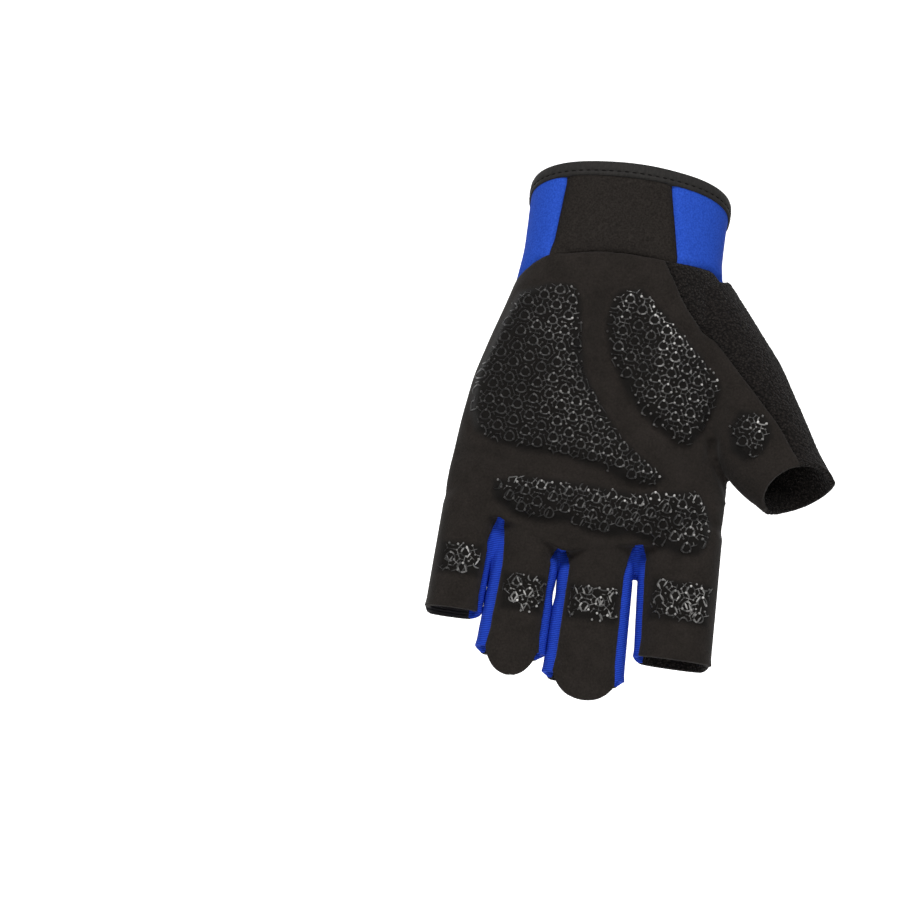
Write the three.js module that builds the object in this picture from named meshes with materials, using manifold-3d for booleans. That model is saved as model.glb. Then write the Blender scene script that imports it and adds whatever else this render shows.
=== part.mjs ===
import * as THREE from 'three';
import { mergeVertices } from 'three/addons/utils/BufferGeometryUtils.js';
import Module from 'manifold-3d';

const wasm = await Module();
wasm.setup();

// Short-finger training glove for the left hand, worn shape. Millimetres.
// +Z runs up the hand to the cuff, -Y is the palm, +X the thumb side. The origin sits in the wrist hollow.

// Driving sizes
const HAND_W = 98;         // breadth over the knuckles
const PALM_D = 40;         // depth of the hand at the thumb's ball
const HAND_L = 97;         // wrist seam to the crotch between index and middle stalls
const CUFF_H = 25.6;       // wrist seam to the rim at the sides of the cuff
const WALL = 2.0;          // cloth thickness
const SEAM = 0.3;          // gap between sewn pieces
const LAY = 0.3;           // gap under pieces that lie on the cloth
const PAD_T = 1.5;         // height of the puffed pads
const BAND_T = 0.8;        // height of the printed bands
const STRAP_T = 2.0;       // thickness of the wrap strap
const TAPE_T = 1.4;        // thickness of the binding tape
const TAPE_W = 4.6;        // width of the binding tape
const RIM_SLOPE = 0.3;     // fall of the rim towards the back, per mm
const BEYOND = 14;         // how far a hollow runs past its opening

// Cross sections of the hand from the rim to the knuckles.
// z: height as a share of CUFF_H above the seam and of HAND_L below it
// ulnar, radial: half breadths as shares of HAND_W / 2
// mid: depth of the side line, back: depth behind it, heel, valley, ball: palm depths in front of it, all shares of PALM_D
// lean: fall of the section towards the back, arch: share of the knuckle arch
const BODY = [
  { z: 1.30, ulnar: 0.692, radial: 0.704, mid: 0.240, back: 0.575, heel: 0.575, valley: 0.590, ball: 0.575, lean: 0.30, arch: 0 },
  { z: 1.00, ulnar: 0.690, radial: 0.700, mid: 0.200, back: 0.575, heel: 0.575, valley: 0.590, ball: 0.575, lean: 0.30, arch: 0 },
  { z: 0.50, ulnar: 0.682, radial: 0.696, mid: 0.130, back: 0.560, heel: 0.560, valley: 0.565, ball: 0.560, lean: 0.27, arch: 0 },
  { z: 0.08, ulnar: 0.682, radial: 0.698, mid: 0.080, back: 0.545, heel: 0.540, valley: 0.520, ball: 0.545, lean: 0.20, arch: 0 },
  { z: -0.07, ulnar: 0.706, radial: 0.745, mid: 0.055, back: 0.535, heel: 0.540, valley: 0.480, ball: 0.560, lean: 0.12, arch: 0 },
  { z: -0.18, ulnar: 0.760, radial: 0.800, mid: 0.040, back: 0.525, heel: 0.560, valley: 0.440, ball: 0.590, lean: 0.05, arch: 0 },
  { z: -0.31, ulnar: 0.840, radial: 0.850, mid: 0.025, back: 0.510, heel: 0.560, valley: 0.405, ball: 0.600, lean: 0, arch: 0 },
  { z: -0.45, ulnar: 0.915, radial: 0.885, mid: 0.015, back: 0.495, heel: 0.530, valley: 0.390, ball: 0.550, lean: 0, arch: 0 },
  { z: -0.60, ulnar: 0.958, radial: 0.905, mid: 0.010, back: 0.475, heel: 0.480, valley: 0.395, ball: 0.460, lean: 0, arch: 0 },
  { z: -0.73, ulnar: 0.980, radial: 0.918, mid: 0.000, back: 0.455, heel: 0.430, valley: 0.410, ball: 0.420, lean: 0, arch: 0.2 },
  { z: -0.83, ulnar: 0.998, radial: 0.918, mid: -0.010, back: 0.400, heel: 0.385, valley: 0.395, ball: 0.400, lean: 0, arch: 0.6 },
  { z: -0.91, ulnar: 1.000, radial: 0.915, mid: -0.020, back: 0.345, heel: 0.325, valley: 0.335, ball: 0.335, lean: 0, arch: 0.9 },
  { z: -0.97, ulnar: 0.985, radial: 0.900, mid: -0.030, back: 0.285, heel: 0.275, valley: 0.280, ball: 0.280, lean: 0, arch: 1 },
];
const SECTION_POINTS = 40;
const SQUARE = 2.35;       // 2 is an ellipse, more is squarer

// Knuckle arch: how the crotches step along the breadth. at: share of HAND_W / 2, dz: share of HAND_L
const ARCH = [
  { at: -1.05, dz: 0.050 },
  { at: -0.600, dz: 0.042 },
  { at: -0.150, dz: -0.034 },
  { at: 0.375, dz: 0.000 },
  { at: 1.00, dz: 0.020 },
];

// Stalls. u0, r0: ulnar and radial side at the root, u1, r1: at the hem, shares of HAND_W / 2
// hem: side length of the stall below the seam, share of HAND_L. tab: length of the pull tab below the hem, mm
const STALLS = [
  { name: 'pinky', u0: -0.996, r0: -0.620, u1: -1.026, r1: -0.656, hem: 1.272, tab: 0, depth: 0.245 },
  { name: 'ring', u0: -0.588, r0: -0.174, u1: -0.633, r1: -0.194, hem: 1.385, tab: 8.5, depth: 0.26 },
  { name: 'middle', u0: -0.130, r0: 0.351, u1: -0.159, r1: 0.370, hem: 1.440, tab: 8.0, depth: 0.265 },
  { name: 'index', u0: 0.398, r0: 0.920, u1: 0.431, r1: 0.949, hem: 1.345, tab: 0, depth: 0.265 },
];
const STALL_POINTS = 22;
const STALL_ROOT = 0.80;   // where a stall starts inside the hand, share of HAND_L
const ROOT_SWELL = 0.12;   // how much deeper a stall is at its root
const CURL = -0.09;        // depth of a stall's axis at its hem, share of PALM_D
const FRONT_SEAM = 0.70;   // palm-side seam of a slot, share of the stall's half depth
const BACK_SEAM = 0.55;    // back seam of a slot

// Thumb. x, y, z: axis points, wide: half breadth, deep: half depth. x and wide are shares of HAND_W / 2, y and deep of PALM_D, z of HAND_L
// near, far: how far the section leans back per mm of depth on the palm side and the back side
const THUMB = [
  { x: 0.545, y: 0.0245, z: -0.0505, wide: 0.23, deep: 0.3675, near: 0, far: 0 },
  { x: 0.725, y: -0.0245, z: -0.2021, wide: 0.27, deep: 0.4165, near: 0, far: 0 },
  { x: 0.863, y: -0.098, z: -0.3486, wide: 0.332, deep: 0.4104, near: 0, far: 0 },
  { x: 1.059, y: -0.1837, z: -0.5355, wide: 0.35, deep: 0.3552, near: 0.1, far: 0.05 },
  { x: 1.21, y: -0.2572, z: -0.634, wide: 0.312, deep: 0.3124, near: 0.4, far: 0.15 },
  { x: 1.392, y: -0.3185, z: -0.7299, wide: 0.25, deep: 0.2879, near: 0.85, far: 0.25 },
];
const THUMB_POINTS = 24;

// Seams. x: share of HAND_W / 2, y: share of PALM_D, z: share of CUFF_H above the wrist seam and of HAND_L below it
// Lines in plan (x, z) unless said otherwise
const CUFF_SEAM_FRONT = [[-1.2245, -0.0515], [-0.6939, -0.0515], [-0.5102, -0.0155], [-0.2041, 0.0391], [0, 0.0664], [0.3061, 0.0391], [0.6939, 0.0586], [1.2245, 0.0586]];
const CUFF_SEAM_BACK = [[-1.2245, -0.0825], [-0.7347, -0.1237], [-0.5714, -0.3196], [-0.2041, -0.4021], [0.1633, -0.4124], [0.449, -0.3814], [0.5918, -0.2474], [0.6939, -0.0825], [0.7755, 0], [1.2245, 0.0391]];
const SEAM_TURN = 22;      // depth over which the front line turns into the back line, mm
const DIAGONAL_DEEP = -0.225; // how deep the diagonal seam cuts, share of PALM_D
const SIDE_SEAM = [[0.225, 0.3906], [0.2, 0], [0.0625, -0.3093], [0.0125, -0.6186], [-0.0125, -0.9278], [-0.075, -1.7526]];             // (y, z), little-finger side
const THUMB_SEAM = [[0.6122, -0.0375], [0.9388, -0.0375], [1.102, -0.175], [1.2653, -0.3125], [1.8367, -0.325]];                     // (x, y), index and thumb
const WEB_OUTLINE = [[0.6633, -0.5155], [1, -0.5155], [1.0816, -0.567], [1.2449, -0.6598], [1.4694, -0.8144], [1.2245, -0.8866], [1.0612, -0.9691], [1.0612, -1.8041], [0.6633, -1.8041]];
const CUFF_ULNAR_SEAM = [[-0.4592, 2.3438], [-0.4735, 1.0742], [-0.5163, 0.0195], [-0.5347, -0.1237]];
const CUFF_RADIAL_SEAM = [[0.1837, 2.3438], [0.2449, 1.1719], [0.3531, 0.1484], [0.3776, -0.0825]];
const DIAGONAL_SEAM = [[0.1388, 0.4141], [0.2776, 0.0039], [0.3571, -0.0619], [0.4184, -0.1124], [0.4776, -0.1526], [0.5776, -0.2082], [0.7163, -0.2691], [0.8776, -0.3546], [1.0776, -0.4557], [1.1755, -0.5062], [1.2959, -0.5918], [1.4551, -0.7577]];
const BACK_SEAM_LINE = [[0.449, -0.1031], [0.4184, -0.4124], [0.3878, -0.7216], [0.3735, -0.9278], [0.3857, -1.1546]];

// Pads, outlines on the palm (x, z), shares as for the seams
const PADS = {
  pad_hypothenar: [[-0.6816, -0.1588], [-0.5, -0.1237], [-0.3204, -0.1237], [-0.2714, -0.1691], [-0.251, -0.2495], [-0.2204, -0.3402], [-0.1816, -0.4113], [-0.102, -0.4722], [-0.002, -0.5423], [0.1184, -0.6134],
    [0.2571, -0.6732], [0.4571, -0.734], [0.3776, -0.7732], [0.2184, -0.768], [0.0388, -0.734], [-0.0816, -0.7041], [-0.2204, -0.668], [-0.3816, -0.6588], [-0.5204, -0.6278], [-0.7, -0.5825], [-0.8796, -0.5423], [-0.9, -0.4619], [-0.8408, -0.3814], [-0.7612, -0.2598]],
  pad_thenar: [[-0.002, -0.1134], [0.1388, -0.1041], [0.2184, -0.1392], [0.3388, -0.199], [0.4776, -0.2598], [0.6163, -0.3206], [0.7367, -0.3814], [0.7571, -0.4216], [0.7367, -0.4722], [0.6776, -0.5423], [0.598, -0.6134], [0.5184, -0.6134],
    [0.3776, -0.5732], [0.2388, -0.5227], [0.1388, -0.4619], [0.0592, -0.401], [-0.0122, -0.3402], [-0.051, -0.2804], [-0.0714, -0.2196], [-0.0408, -0.1392]],
  pad_finger_base: [[-0.6816, -0.8237], [-0.5, -0.799], [-0.0224, -0.799], [0.2571, -0.8093], [0.4571, -0.7887], [0.6776, -0.768], [0.7673, -0.8093], [0.8061, -0.8598], [0.8061, -0.9299], [0.7571, -0.9753], [0.6367, -0.9856],
    [0.4571, -0.9598], [0.2776, -0.9402], [0.1388, -0.9546], [-0.0224, -0.9505], [-0.1408, -0.9299], [-0.3612, -0.9196], [-0.5204, -0.9], [-0.6408, -0.8598]],
  pad_thumb: [[0.8959, -0.4814], [0.9959, -0.4773], [1.0959, -0.5021], [1.1265, -0.5526], [1.0776, -0.6134], [0.9776, -0.6433], [0.8878, -0.6134], [0.8469, -0.5423]],
};
const PAD_ROUND = 3.0;     // spacing of the points on a pad's outline, mm
// Bands on the stalls. from, to: shares of HAND_W / 2, top, foot: shares of HAND_L
const BANDS = [
  { name: 'band_pinky', from: -0.9796, to: -0.7, top: -1.0505, foot: -1.1557 },
  { name: 'band_ring', from: -0.5245, to: -0.2449, top: -1.1309, foot: -1.2515 },
  { name: 'band_middle', from: -0.0653, to: 0.2571, top: -1.1361, foot: -1.2515 },
  { name: 'band_index', from: 0.4776, to: 0.8776, top: -1.0804, foot: -1.2165 },
];

// Wrap strap on the back of the cuff and the slit beside it
// at, from: shares of HAND_W / 2, foot: share of HAND_L, the rest mm
const SLIT = { at: 0.457, gap: 1.2, foot: -0.247, keyhole: 6.0, hole: 2.2, tape: 4.4 };
const STRAP = { from: -0.643, foot: -0.278, drop: 0.8, corner: 9 };
const STRAP_BACK = 0.15;   // depth where the strap starts at the sides, share of PALM_D
const TAPE_OUT = 0.6;      // how far the rim binding stands out from the cloth on both sides
const PAD_BACK = -0.04;    // depth where the pads end, short of the side line, share of PALM_D
const BAND_BACK = -0.15;   // depth where the bands end, share of PALM_D
const SLOT_TOP = 0.88;     // where the slots' seams start, share of HAND_L
const SLOT_D = 0.26;       // half depth of a stall for the slots' seams, share of PALM_D

const TAB_IN = 2.4;        // how much narrower a pull tab is than its stall, each side
const THUMB_MOUTH = [0.47, -0.10, -0.88]; // direction of the thumb at its mouth

const half = HAND_W / 2;
const FAR = 2 * HAND_L;    // past every piece
const zOf = (share) => (share > 0 ? share * CUFF_H : share * HAND_L);
const plan = (points) => points.map(([x, z]) => [x * half, zOf(z)]);
const section = (points) => points.map(([y, z]) => [y * PALM_D, zOf(z)]);

// Value of a table column at a place, on a straight line between rows
function between(table, at, column, x) {
  if (x <= table[0][at]) return table[0][column];
  for (let i = 1; i < table.length; i += 1) {
    if (x <= table[i][at]) {
      const t = (x - table[i - 1][at]) / (table[i][at] - table[i - 1][at]);
      return table[i - 1][column] + t * (table[i][column] - table[i - 1][column]);
    }
  }
  return table[table.length - 1][column];
}

// A closed body through rings of points, capped at both ends
function loft(rings) {
  const n = rings[0].length;
  const points = rings.flat();
  const index = [];
  for (let r = 0; r + 1 < rings.length; r += 1) {
    for (let i = 0; i < n; i += 1) {
      const a = r * n + i;
      const b = r * n + ((i + 1) % n);
      index.push(a, b, b + n, a, b + n, a + n);
    }
  }
  for (const [first, flip] of [[0, true], [(rings.length - 1) * n, false]]) {
    const centre = new THREE.Vector3();
    for (let i = 0; i < n; i += 1) centre.add(points[first + i]);
    points.push(centre.divideScalar(n));
    for (let i = 0; i < n; i += 1) {
      const a = first + i;
      const b = first + ((i + 1) % n);
      index.push(...(flip ? [b, a, points.length - 1] : [a, b, points.length - 1]));
    }
  }
  const geometry = new THREE.BufferGeometry().setFromPoints(points);
  geometry.setIndex(index);
  return toSolid(geometry);
}

function toSolid(source) {
  const bare = source.clone();
  bare.deleteAttribute('normal');
  bare.deleteAttribute('uv');
  const geometry = mergeVertices(bare, 1e-4);
  const build = (flip) => {
    const tris = Array.from(geometry.index.array);
    if (flip) for (let i = 0; i < tris.length; i += 3) [tris[i], tris[i + 1]] = [tris[i + 1], tris[i]];
    return new wasm.Manifold(new wasm.Mesh({
      numProp: 3,
      vertProperties: new Float32Array(geometry.attributes.position.array),
      triVerts: new Uint32Array(tris),
    }));
  };
  const solid = build(false);
  return solid.volume() > 0 ? solid : build(true);
}

// One section of the hand, grown by `grow`
function bodyRing(row, grow, lift = 0) {
  const ulnar = row.ulnar * half + grow;
  const radial = row.radial * half + grow;
  const cx = (radial - ulnar) / 2;
  const a = (radial + ulnar) / 2;
  const y0 = row.mid * PALM_D;
  const front = [
    { at: -1, d: row.heel }, { at: -0.45, d: row.heel }, { at: 0.02, d: row.valley }, { at: 0.5, d: row.ball }, { at: 1, d: row.ball },
  ];
  const ring = [];
  for (let i = 0; i < SECTION_POINTS; i += 1) {
    const t = (2 * Math.PI * i) / SECTION_POINTS;
    const u = Math.sign(Math.cos(t)) * Math.abs(Math.cos(t)) ** (2 / SQUARE);
    const v = Math.sign(Math.sin(t)) * Math.abs(Math.sin(t)) ** (2 / SQUARE);
    const depth = v > 0 ? row.back * PALM_D + grow : smooth(front, u) * PALM_D + grow;
    const x = cx + a * u;
    const y = y0 + depth * v;
    const arch = row.arch * between(ARCH, 'at', 'dz', x / half) * HAND_L;
    ring.push(new THREE.Vector3(x, y, zOf(row.z) + lift + arch - row.lean * (y - y0)));
  }
  return ring;
}

function smooth(table, u) {
  for (let i = 1; i < table.length; i += 1) {
    if (u <= table[i].at) {
      const t = (u - table[i - 1].at) / (table[i].at - table[i - 1].at);
      return table[i - 1].d + (0.5 - 0.5 * Math.cos(Math.PI * t)) * (table[i].d - table[i - 1].d);
    }
  }
  return table[table.length - 1].d;
}

function body(grow) {
  const rings = BODY.map((row) => bodyRing(row, grow));
  rings.unshift(bodyRing(BODY[0], grow, BEYOND));
  const last = BODY[BODY.length - 1];
  rings.push(bodyRing({ ...last, ulnar: last.ulnar * 0.96, radial: last.radial * 0.96, back: last.back * 0.7, heel: last.heel * 0.7,
    valley: last.valley * 0.7, ball: last.ball * 0.7 }, grow, -1.2 - grow));
  return loft(rings);
}

// One stall, grown by `grow`; a hollow runs on past the hem by `past`
function stall(row, grow, past) {
  const rings = [];
  for (const share of [0, 0.25, 0.5, 0.75, 1, 1 + past]) {
    if (share > 1 && past === 0) continue;
    const ulnar = (row.u0 + (row.u1 - row.u0) * share) * half - grow;
    const radial = (row.r0 + (row.r1 - row.r0) * share) * half + grow;
    const z = -HAND_L * (STALL_ROOT + (row.hem - STALL_ROOT) * share) - (share === 1 && !past ? row.tab : 0);
    const deep = row.depth * PALM_D * (1 + ROOT_SWELL * Math.max(0, 1 - share * 2.5)) + grow;
    const ring = [];
    for (let i = 0; i < STALL_POINTS; i += 1) {
      const t = (2 * Math.PI * i) / STALL_POINTS;
      const u = Math.sign(Math.cos(t)) * Math.abs(Math.cos(t)) ** (2 / SQUARE);
      const v = Math.sign(Math.sin(t)) * Math.abs(Math.sin(t)) ** (2 / SQUARE);
      ring.push(new THREE.Vector3((ulnar + radial) / 2 + ((radial - ulnar) / 2) * u, CURL * PALM_D * share + deep * v, z));
    }
    rings.push(ring);
  }
  return loft(rings);
}

// The thumb, grown by `grow`; a hollow runs on past its mouth
function thumb(grow, past) {
  const axis = THUMB.map((row) => new THREE.Vector3(row.x * half, row.y * PALM_D, row.z * HAND_L));
  const rows = THUMB.map((row, i) => {
    const along = axis[Math.min(i + 1, axis.length - 1)].clone().sub(axis[Math.max(i - 1, 0)]);
    if (i === THUMB.length - 1) along.set(...THUMB_MOUTH);
    along.normalize();
    return { ...row, centre: axis[i], along };
  });
  if (past) {
    const end = rows[rows.length - 1];
    rows.push({ ...end, centre: end.centre.clone().addScaledVector(end.along, past) });
  }
  const rings = rows.map((row) => {
    const across = new THREE.Vector3(0, -1, 0).cross(row.along).normalize();
    const ring = [];
    for (let i = 0; i < THUMB_POINTS; i += 1) {
      const t = (2 * Math.PI * i) / THUMB_POINTS;
      const near = Math.sin(t) * (row.deep * PALM_D + grow);
      const lean = near > 0 ? -row.near * near : -row.far * near;
      ring.push(row.centre.clone().addScaledVector(across, Math.cos(t) * (row.wide * half + grow))
        .add(new THREE.Vector3(0, -near, 0)).addScaledVector(row.along, lean));
    }
    return ring;
  });
  return loft(rings);
}

// A prism along Y over an outline in plan (x, z)
function prism(outline, y0, y1) {
  const shape = new THREE.Shape(outline.map(([x, z]) => new THREE.Vector2(x, z)));
  const geometry = new THREE.ExtrudeGeometry(shape, { depth: y1 - y0, bevelEnabled: false, curveSegments: 6 });
  geometry.rotateX(Math.PI / 2);
  geometry.translate(0, y1, 0);
  return toSolid(geometry);
}

// A prism along X over an outline in section (y, z)
function sideways(outline, x0, x1) {
  const shape = new THREE.Shape(outline.map(([y, z]) => new THREE.Vector2(y, z)));
  const geometry = new THREE.ExtrudeGeometry(shape, { depth: x1 - x0, bevelEnabled: false });
  geometry.applyMatrix4(new THREE.Matrix4().makeBasis(new THREE.Vector3(0, 1, 0), new THREE.Vector3(0, 0, 1), new THREE.Vector3(1, 0, 0)));
  geometry.translate(x0, 0, 0);
  return toSolid(geometry);
}

// Outline of a line drawn `width` wide
function ribbon(line, width) {
  const side = (sign) => line.map(([x, z], i) => {
    const [ax, az] = line[Math.max(i - 1, 0)];
    const [bx, bz] = line[Math.min(i + 1, line.length - 1)];
    const len = Math.hypot(bx - ax, bz - az);
    return [x - (sign * width * (bz - az)) / (2 * len), z + (sign * width * (bx - ax)) / (2 * len)];
  });
  return [...side(1), ...side(-1).reverse()];
}

const box = (x0, x1, y0, y1, z0, z1) => toSolid(new THREE.BoxGeometry(x1 - x0, y1 - y0, z1 - z0).translate((x0 + x1) / 2, (y0 + y1) / 2, (z0 + z1) / 2));

// The part of space above the rim's plane, lifted by `lift`
function aboveRim(lift) {
  const y0 = BODY[1].mid * PALM_D;
  const at = (y) => CUFF_H + lift - RIM_SLOPE * (y - y0);
  return sideways([[-PALM_D * 2, at(-PALM_D * 2)], [PALM_D * 2, at(PALM_D * 2)], [PALM_D * 2, FAR], [-PALM_D * 2, FAR]], -FAR, FAR);
}

function rounded(outline, radius) {
  const points = outline.map(([x, z]) => new THREE.Vector3(x, 0, z));
  const curve = new THREE.CatmullRomCurve3(points, true, 'centripetal');
  return curve.getSpacedPoints(Math.round(curve.getLength() / radius)).slice(0, -1).map((p) => [p.x, p.z]);
}

const union = (...solids) => solids.reduce((a, b) => a.add(b));

function whole(grow, hollow) {
  return union(body(grow), ...STALLS.map((row) => stall(row, grow, hollow ? 0.4 : 0)), thumb(grow, hollow ? BEYOND : 0));
}

const outer = whole(0, false);
const inner = whole(-WALL, true);
let shell = outer.subtract(inner);

// Hems: the sides and backs of the tabbed stalls end at the hem, their palm sides run on as tabs
for (const row of STALLS.filter((r) => r.tab > 0)) {
  const hem = -HAND_L * row.hem;
  const u = row.u1 * half;
  const r = row.r1 * half;
  const mid = (u + r) / 2;
  const wide = (r - u) / 2 - TAB_IN;
  const y = CURL * PALM_D - row.depth * PALM_D;
  const low = hem - row.tab - BEYOND;
  shell = shell.subtract(box(u - WALL, r + WALL, y + 2 * WALL, PALM_D, low, hem));
  const tab = [];
  for (let i = 0; i <= 16; i += 1) {
    const t = Math.PI + (Math.PI * i) / 16;
    tab.push([mid + wide * Math.cos(t), hem + WALL / 2 + (row.tab + WALL / 2) * Math.sin(t)]);
  }
  const around = [[u - WALL, hem + WALL / 2], [u - WALL, low], [r + WALL, low], [r + WALL, hem + WALL / 2]];
  shell = shell.subtract(prism([...around, ...tab.reverse()], -FAR, y + 2.1 * WALL).intersect(box(u - FAR, r + FAR, -FAR, FAR, low, hem)));
}

// A slab whose underside follows z = level(x, y), reaching far up
function slabAbove(level) {
  const geometry = new THREE.BoxGeometry(2 * HAND_W, 2 * HAND_W, 1, 32, 32, 1);
  const at = geometry.attributes.position;
  for (let i = 0; i < at.count; i += 1) {
    at.setZ(i, at.getZ(i) > 0 ? FAR : level(at.getX(i), at.getY(i)));
  }
  return toSolid(geometry);
}

// A thin sheet facing the palm, y = depth(x, z), inside an outline in plan
function facing(depth, outline) {
  const geometry = new THREE.BoxGeometry(1.6 * HAND_W, SEAM, FAR, 32, 1, 12).translate(0.4 * half, 0, -0.8 * HAND_L);
  const at = geometry.attributes.position;
  for (let i = 0; i < at.count; i += 1) at.setY(i, at.getY(i) + depth(at.getX(i), at.getZ(i)));
  return toSolid(geometry).intersect(prism(outline, -FAR, FAR));
}

const line = (points, x) => between(points.map(([px, pz]) => ({ x: px, z: pz })), 'x', 'z', x);
const ease = (t) => { const k = Math.min(Math.max(t, 0), 1); return k * k * (3 - 2 * k); };

// The seam between cuff and hand: its front line turns into its back line round the sides
const cuffSeam = (x, y) => {
  const t = ease(0.5 + y / SEAM_TURN);
  return line(plan(CUFF_SEAM_FRONT), x) * (1 - t) + line(plan(CUFF_SEAM_BACK), x) * t;
};
const cutAll = (solid, tools) => tools.reduce((a, b) => a.subtract(b), solid);
const hand = shell.subtract(slabAbove((x, y) => cuffSeam(x, y) - SEAM / 2));
const cuff = shell.intersect(slabAbove((x, y) => cuffSeam(x, y) + SEAM / 2)).subtract(aboveRim(-TAPE_W - LAY));

// Seams of the hand
const column = (name, key) => STALLS.find((row) => row.name === name)[key] * half;
const slotFrom = (column('pinky', 'u0') + column('pinky', 'r0')) / 2;
const slotTo = (column('index', 'u0') + column('index', 'r0')) / 2;
const foot = -HAND_L * 1.7;
const slotTop = -HAND_L * SLOT_TOP;
const seamY = (z, share) => CURL * PALM_D * ((-z / HAND_L - STALL_ROOT) / (1.38 - STALL_ROOT)) + share * SLOT_D * PALM_D;
const handSheets = [];
for (const share of [-FRONT_SEAM, BACK_SEAM]) {
  handSheets.push(sideways(ribbon([[seamY(slotTop, share), slotTop], [seamY(foot, share), foot]], SEAM), slotFrom, slotTo));
}
const sideSheet = sideways(ribbon(section(SIDE_SEAM), SEAM), -2 * half, -0.4 * half);
handSheets.push(sideSheet.subtract(box(slotFrom, 0, -FAR, FAR, -2 * FAR, slotTop)));
const thumbSeam = THUMB_SEAM.map(([x, y]) => [x * half, y * PALM_D]);
handSheets.push(facing((x) => line(thumbSeam, x), plan(WEB_OUTLINE)));
handSheets.push(prism(ribbon(plan(DIAGONAL_SEAM), SEAM), -FAR, DIAGONAL_DEEP * PALM_D));
handSheets.push(prism(ribbon(plan(BACK_SEAM_LINE), SEAM), seamY(-HAND_L, BACK_SEAM), FAR));

// Seams of the cuff, and the slit with its keyhole
const circle = (x, z, r, n = 20) => Array.from({ length: n }, (_, i) => [x + r * Math.cos((2 * Math.PI * i) / n), z + r * Math.sin((2 * Math.PI * i) / n)]);
const onBack = (outline) => prism(outline, 0.05 * PALM_D, FAR);
const upFrom = (x0, x1, z) => [[x0, FAR], [x0, z], [x1, z], [x1, FAR]];
const slitX = SLIT.at * half;
const slitZ = zOf(SLIT.foot);
const slitCut = onBack(upFrom(slitX - SLIT.gap / 2, slitX + SLIT.gap / 2, slitZ));
const holeCut = onBack(circle(slitX, slitZ, SLIT.hole));
const onPalm = (points) => prism(ribbon(plan(points), SEAM), -FAR, 0);
const cuffSheets = [onPalm(CUFF_ULNAR_SEAM), onPalm(CUFF_RADIAL_SEAM), slitCut.add(holeCut)];

// Picks the piece of a cut shell that holds each probe box
function pick(solid, probes) {
  const pieces = solid.decompose();
  const found = {};
  for (const [name, probe] of Object.entries(probes)) {
    const hits = pieces.filter((piece) => piece.intersect(probe).volume() > 0.01);
    if (hits.length !== 1) throw new Error(`${name}: ${hits.length} pieces under its probe`);
    found[name] = hits[0];
  }
  const loose = pieces.filter((piece) => !Object.values(found).includes(piece) && piece.volume() > 5);
  if (loose.length) throw new Error(`${loose.length} pieces without a name`);
  return found;
}

const probe = (x, z, y0, y1) => box(x * half - 0.4, x * half + 0.4, y0, y1, zOf(z) - 0.4, zOf(z) + 0.4);
const web = (a, b) => {
  const x = (column(a, 'r0') + column(b, 'u0')) / 2;
  return box(x - 0.2, x + 0.2, -1.5, 0.5, -HAND_L * 1.1, -HAND_L * 0.9);
};
const panels = pick(cutAll(hand, handSheets), {
  palm_panel: probe(-0.2, -0.52, -FAR, -5),
  back_panel: probe(-0.2, -0.62, 5, FAR),
  side_panel: probe(0.71, -0.77, 5, FAR),
  fourchette_pinky_ring: web('pinky', 'ring'),
  fourchette_ring_middle: web('ring', 'middle'),
  fourchette_middle_index: web('middle', 'index'),
});
const cuffs = pick(cutAll(cuff, cuffSheets), {
  cuff_palm_panel: probe(-0.08, 0.47, -FAR, 0),
  cuff_wrap: probe(0, -0.02, 10, FAR),
});

// Layers that lie on the cloth
const layer = (from, to) => whole(to, false).subtract(whole(from, false));
const padLayer = layer(LAY, LAY + PAD_T);
const bandLayer = layer(LAY, LAY + BAND_T);
const strapLayer = layer(LAY, LAY + STRAP_T);
const tapeLayer = layer(LAY, LAY + TAPE_T);

const pieces = [];
for (const [name, solid] of Object.entries(panels)) pieces.push([name, solid]);
for (const [name, solid] of Object.entries(cuffs)) pieces.push([name, solid]);
for (const [name, outline] of Object.entries(PADS)) {
  pieces.push([name, padLayer.intersect(prism(rounded(plan(outline), PAD_ROUND), -FAR, PAD_BACK * PALM_D))]);
}
for (const row of BANDS) {
  const outline = plan([[row.from, row.foot], [row.to, row.foot], [row.to, row.top], [row.from, row.top]]);
  pieces.push([row.name, bandLayer.intersect(prism(outline, -FAR, BAND_BACK * PALM_D))]);
}

// Rim binding, slit binding and wrap strap
const rim = whole(TAPE_OUT, false).subtract(whole(-WALL - TAPE_OUT, true));
pieces.push(['rim_binding', rim.subtract(aboveRim(0)).intersect(aboveRim(-TAPE_W)).subtract(slitCut)]);
const tapeX = slitX + SLIT.gap / 2 + LAY;
const tapeShape = onBack(upFrom(tapeX, tapeX + SLIT.tape, slitZ)).add(onBack(circle(slitX, slitZ, SLIT.keyhole, 28))).subtract(holeCut);
pieces.push(['slit_binding', tapeLayer.intersect(tapeShape).subtract(aboveRim(-TAPE_W - LAY))]);
const strapFrom = STRAP.from * half;
const strapTo = slitX - SLIT.gap;
const strapFoot = zOf(STRAP.foot);
const strapShape = new THREE.Shape();
strapShape.moveTo(strapTo, FAR);
strapShape.lineTo(strapFrom, FAR);
strapShape.lineTo(strapFrom, strapFoot + STRAP.corner);
strapShape.quadraticCurveTo(strapFrom, strapFoot, strapFrom + STRAP.corner, strapFoot);
strapShape.lineTo(strapTo, strapFoot);
const strapPlan = prism(strapShape.getPoints(8).map((p) => [p.x, p.y]), STRAP_BACK * PALM_D, FAR);
pieces.push(['wrist_strap', strapLayer.intersect(strapPlan).subtract(aboveRim(-TAPE_W - STRAP.drop))
  .subtract(onBack(circle(slitX, slitZ, SLIT.keyhole + 2 * LAY, 28)))]);

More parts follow.
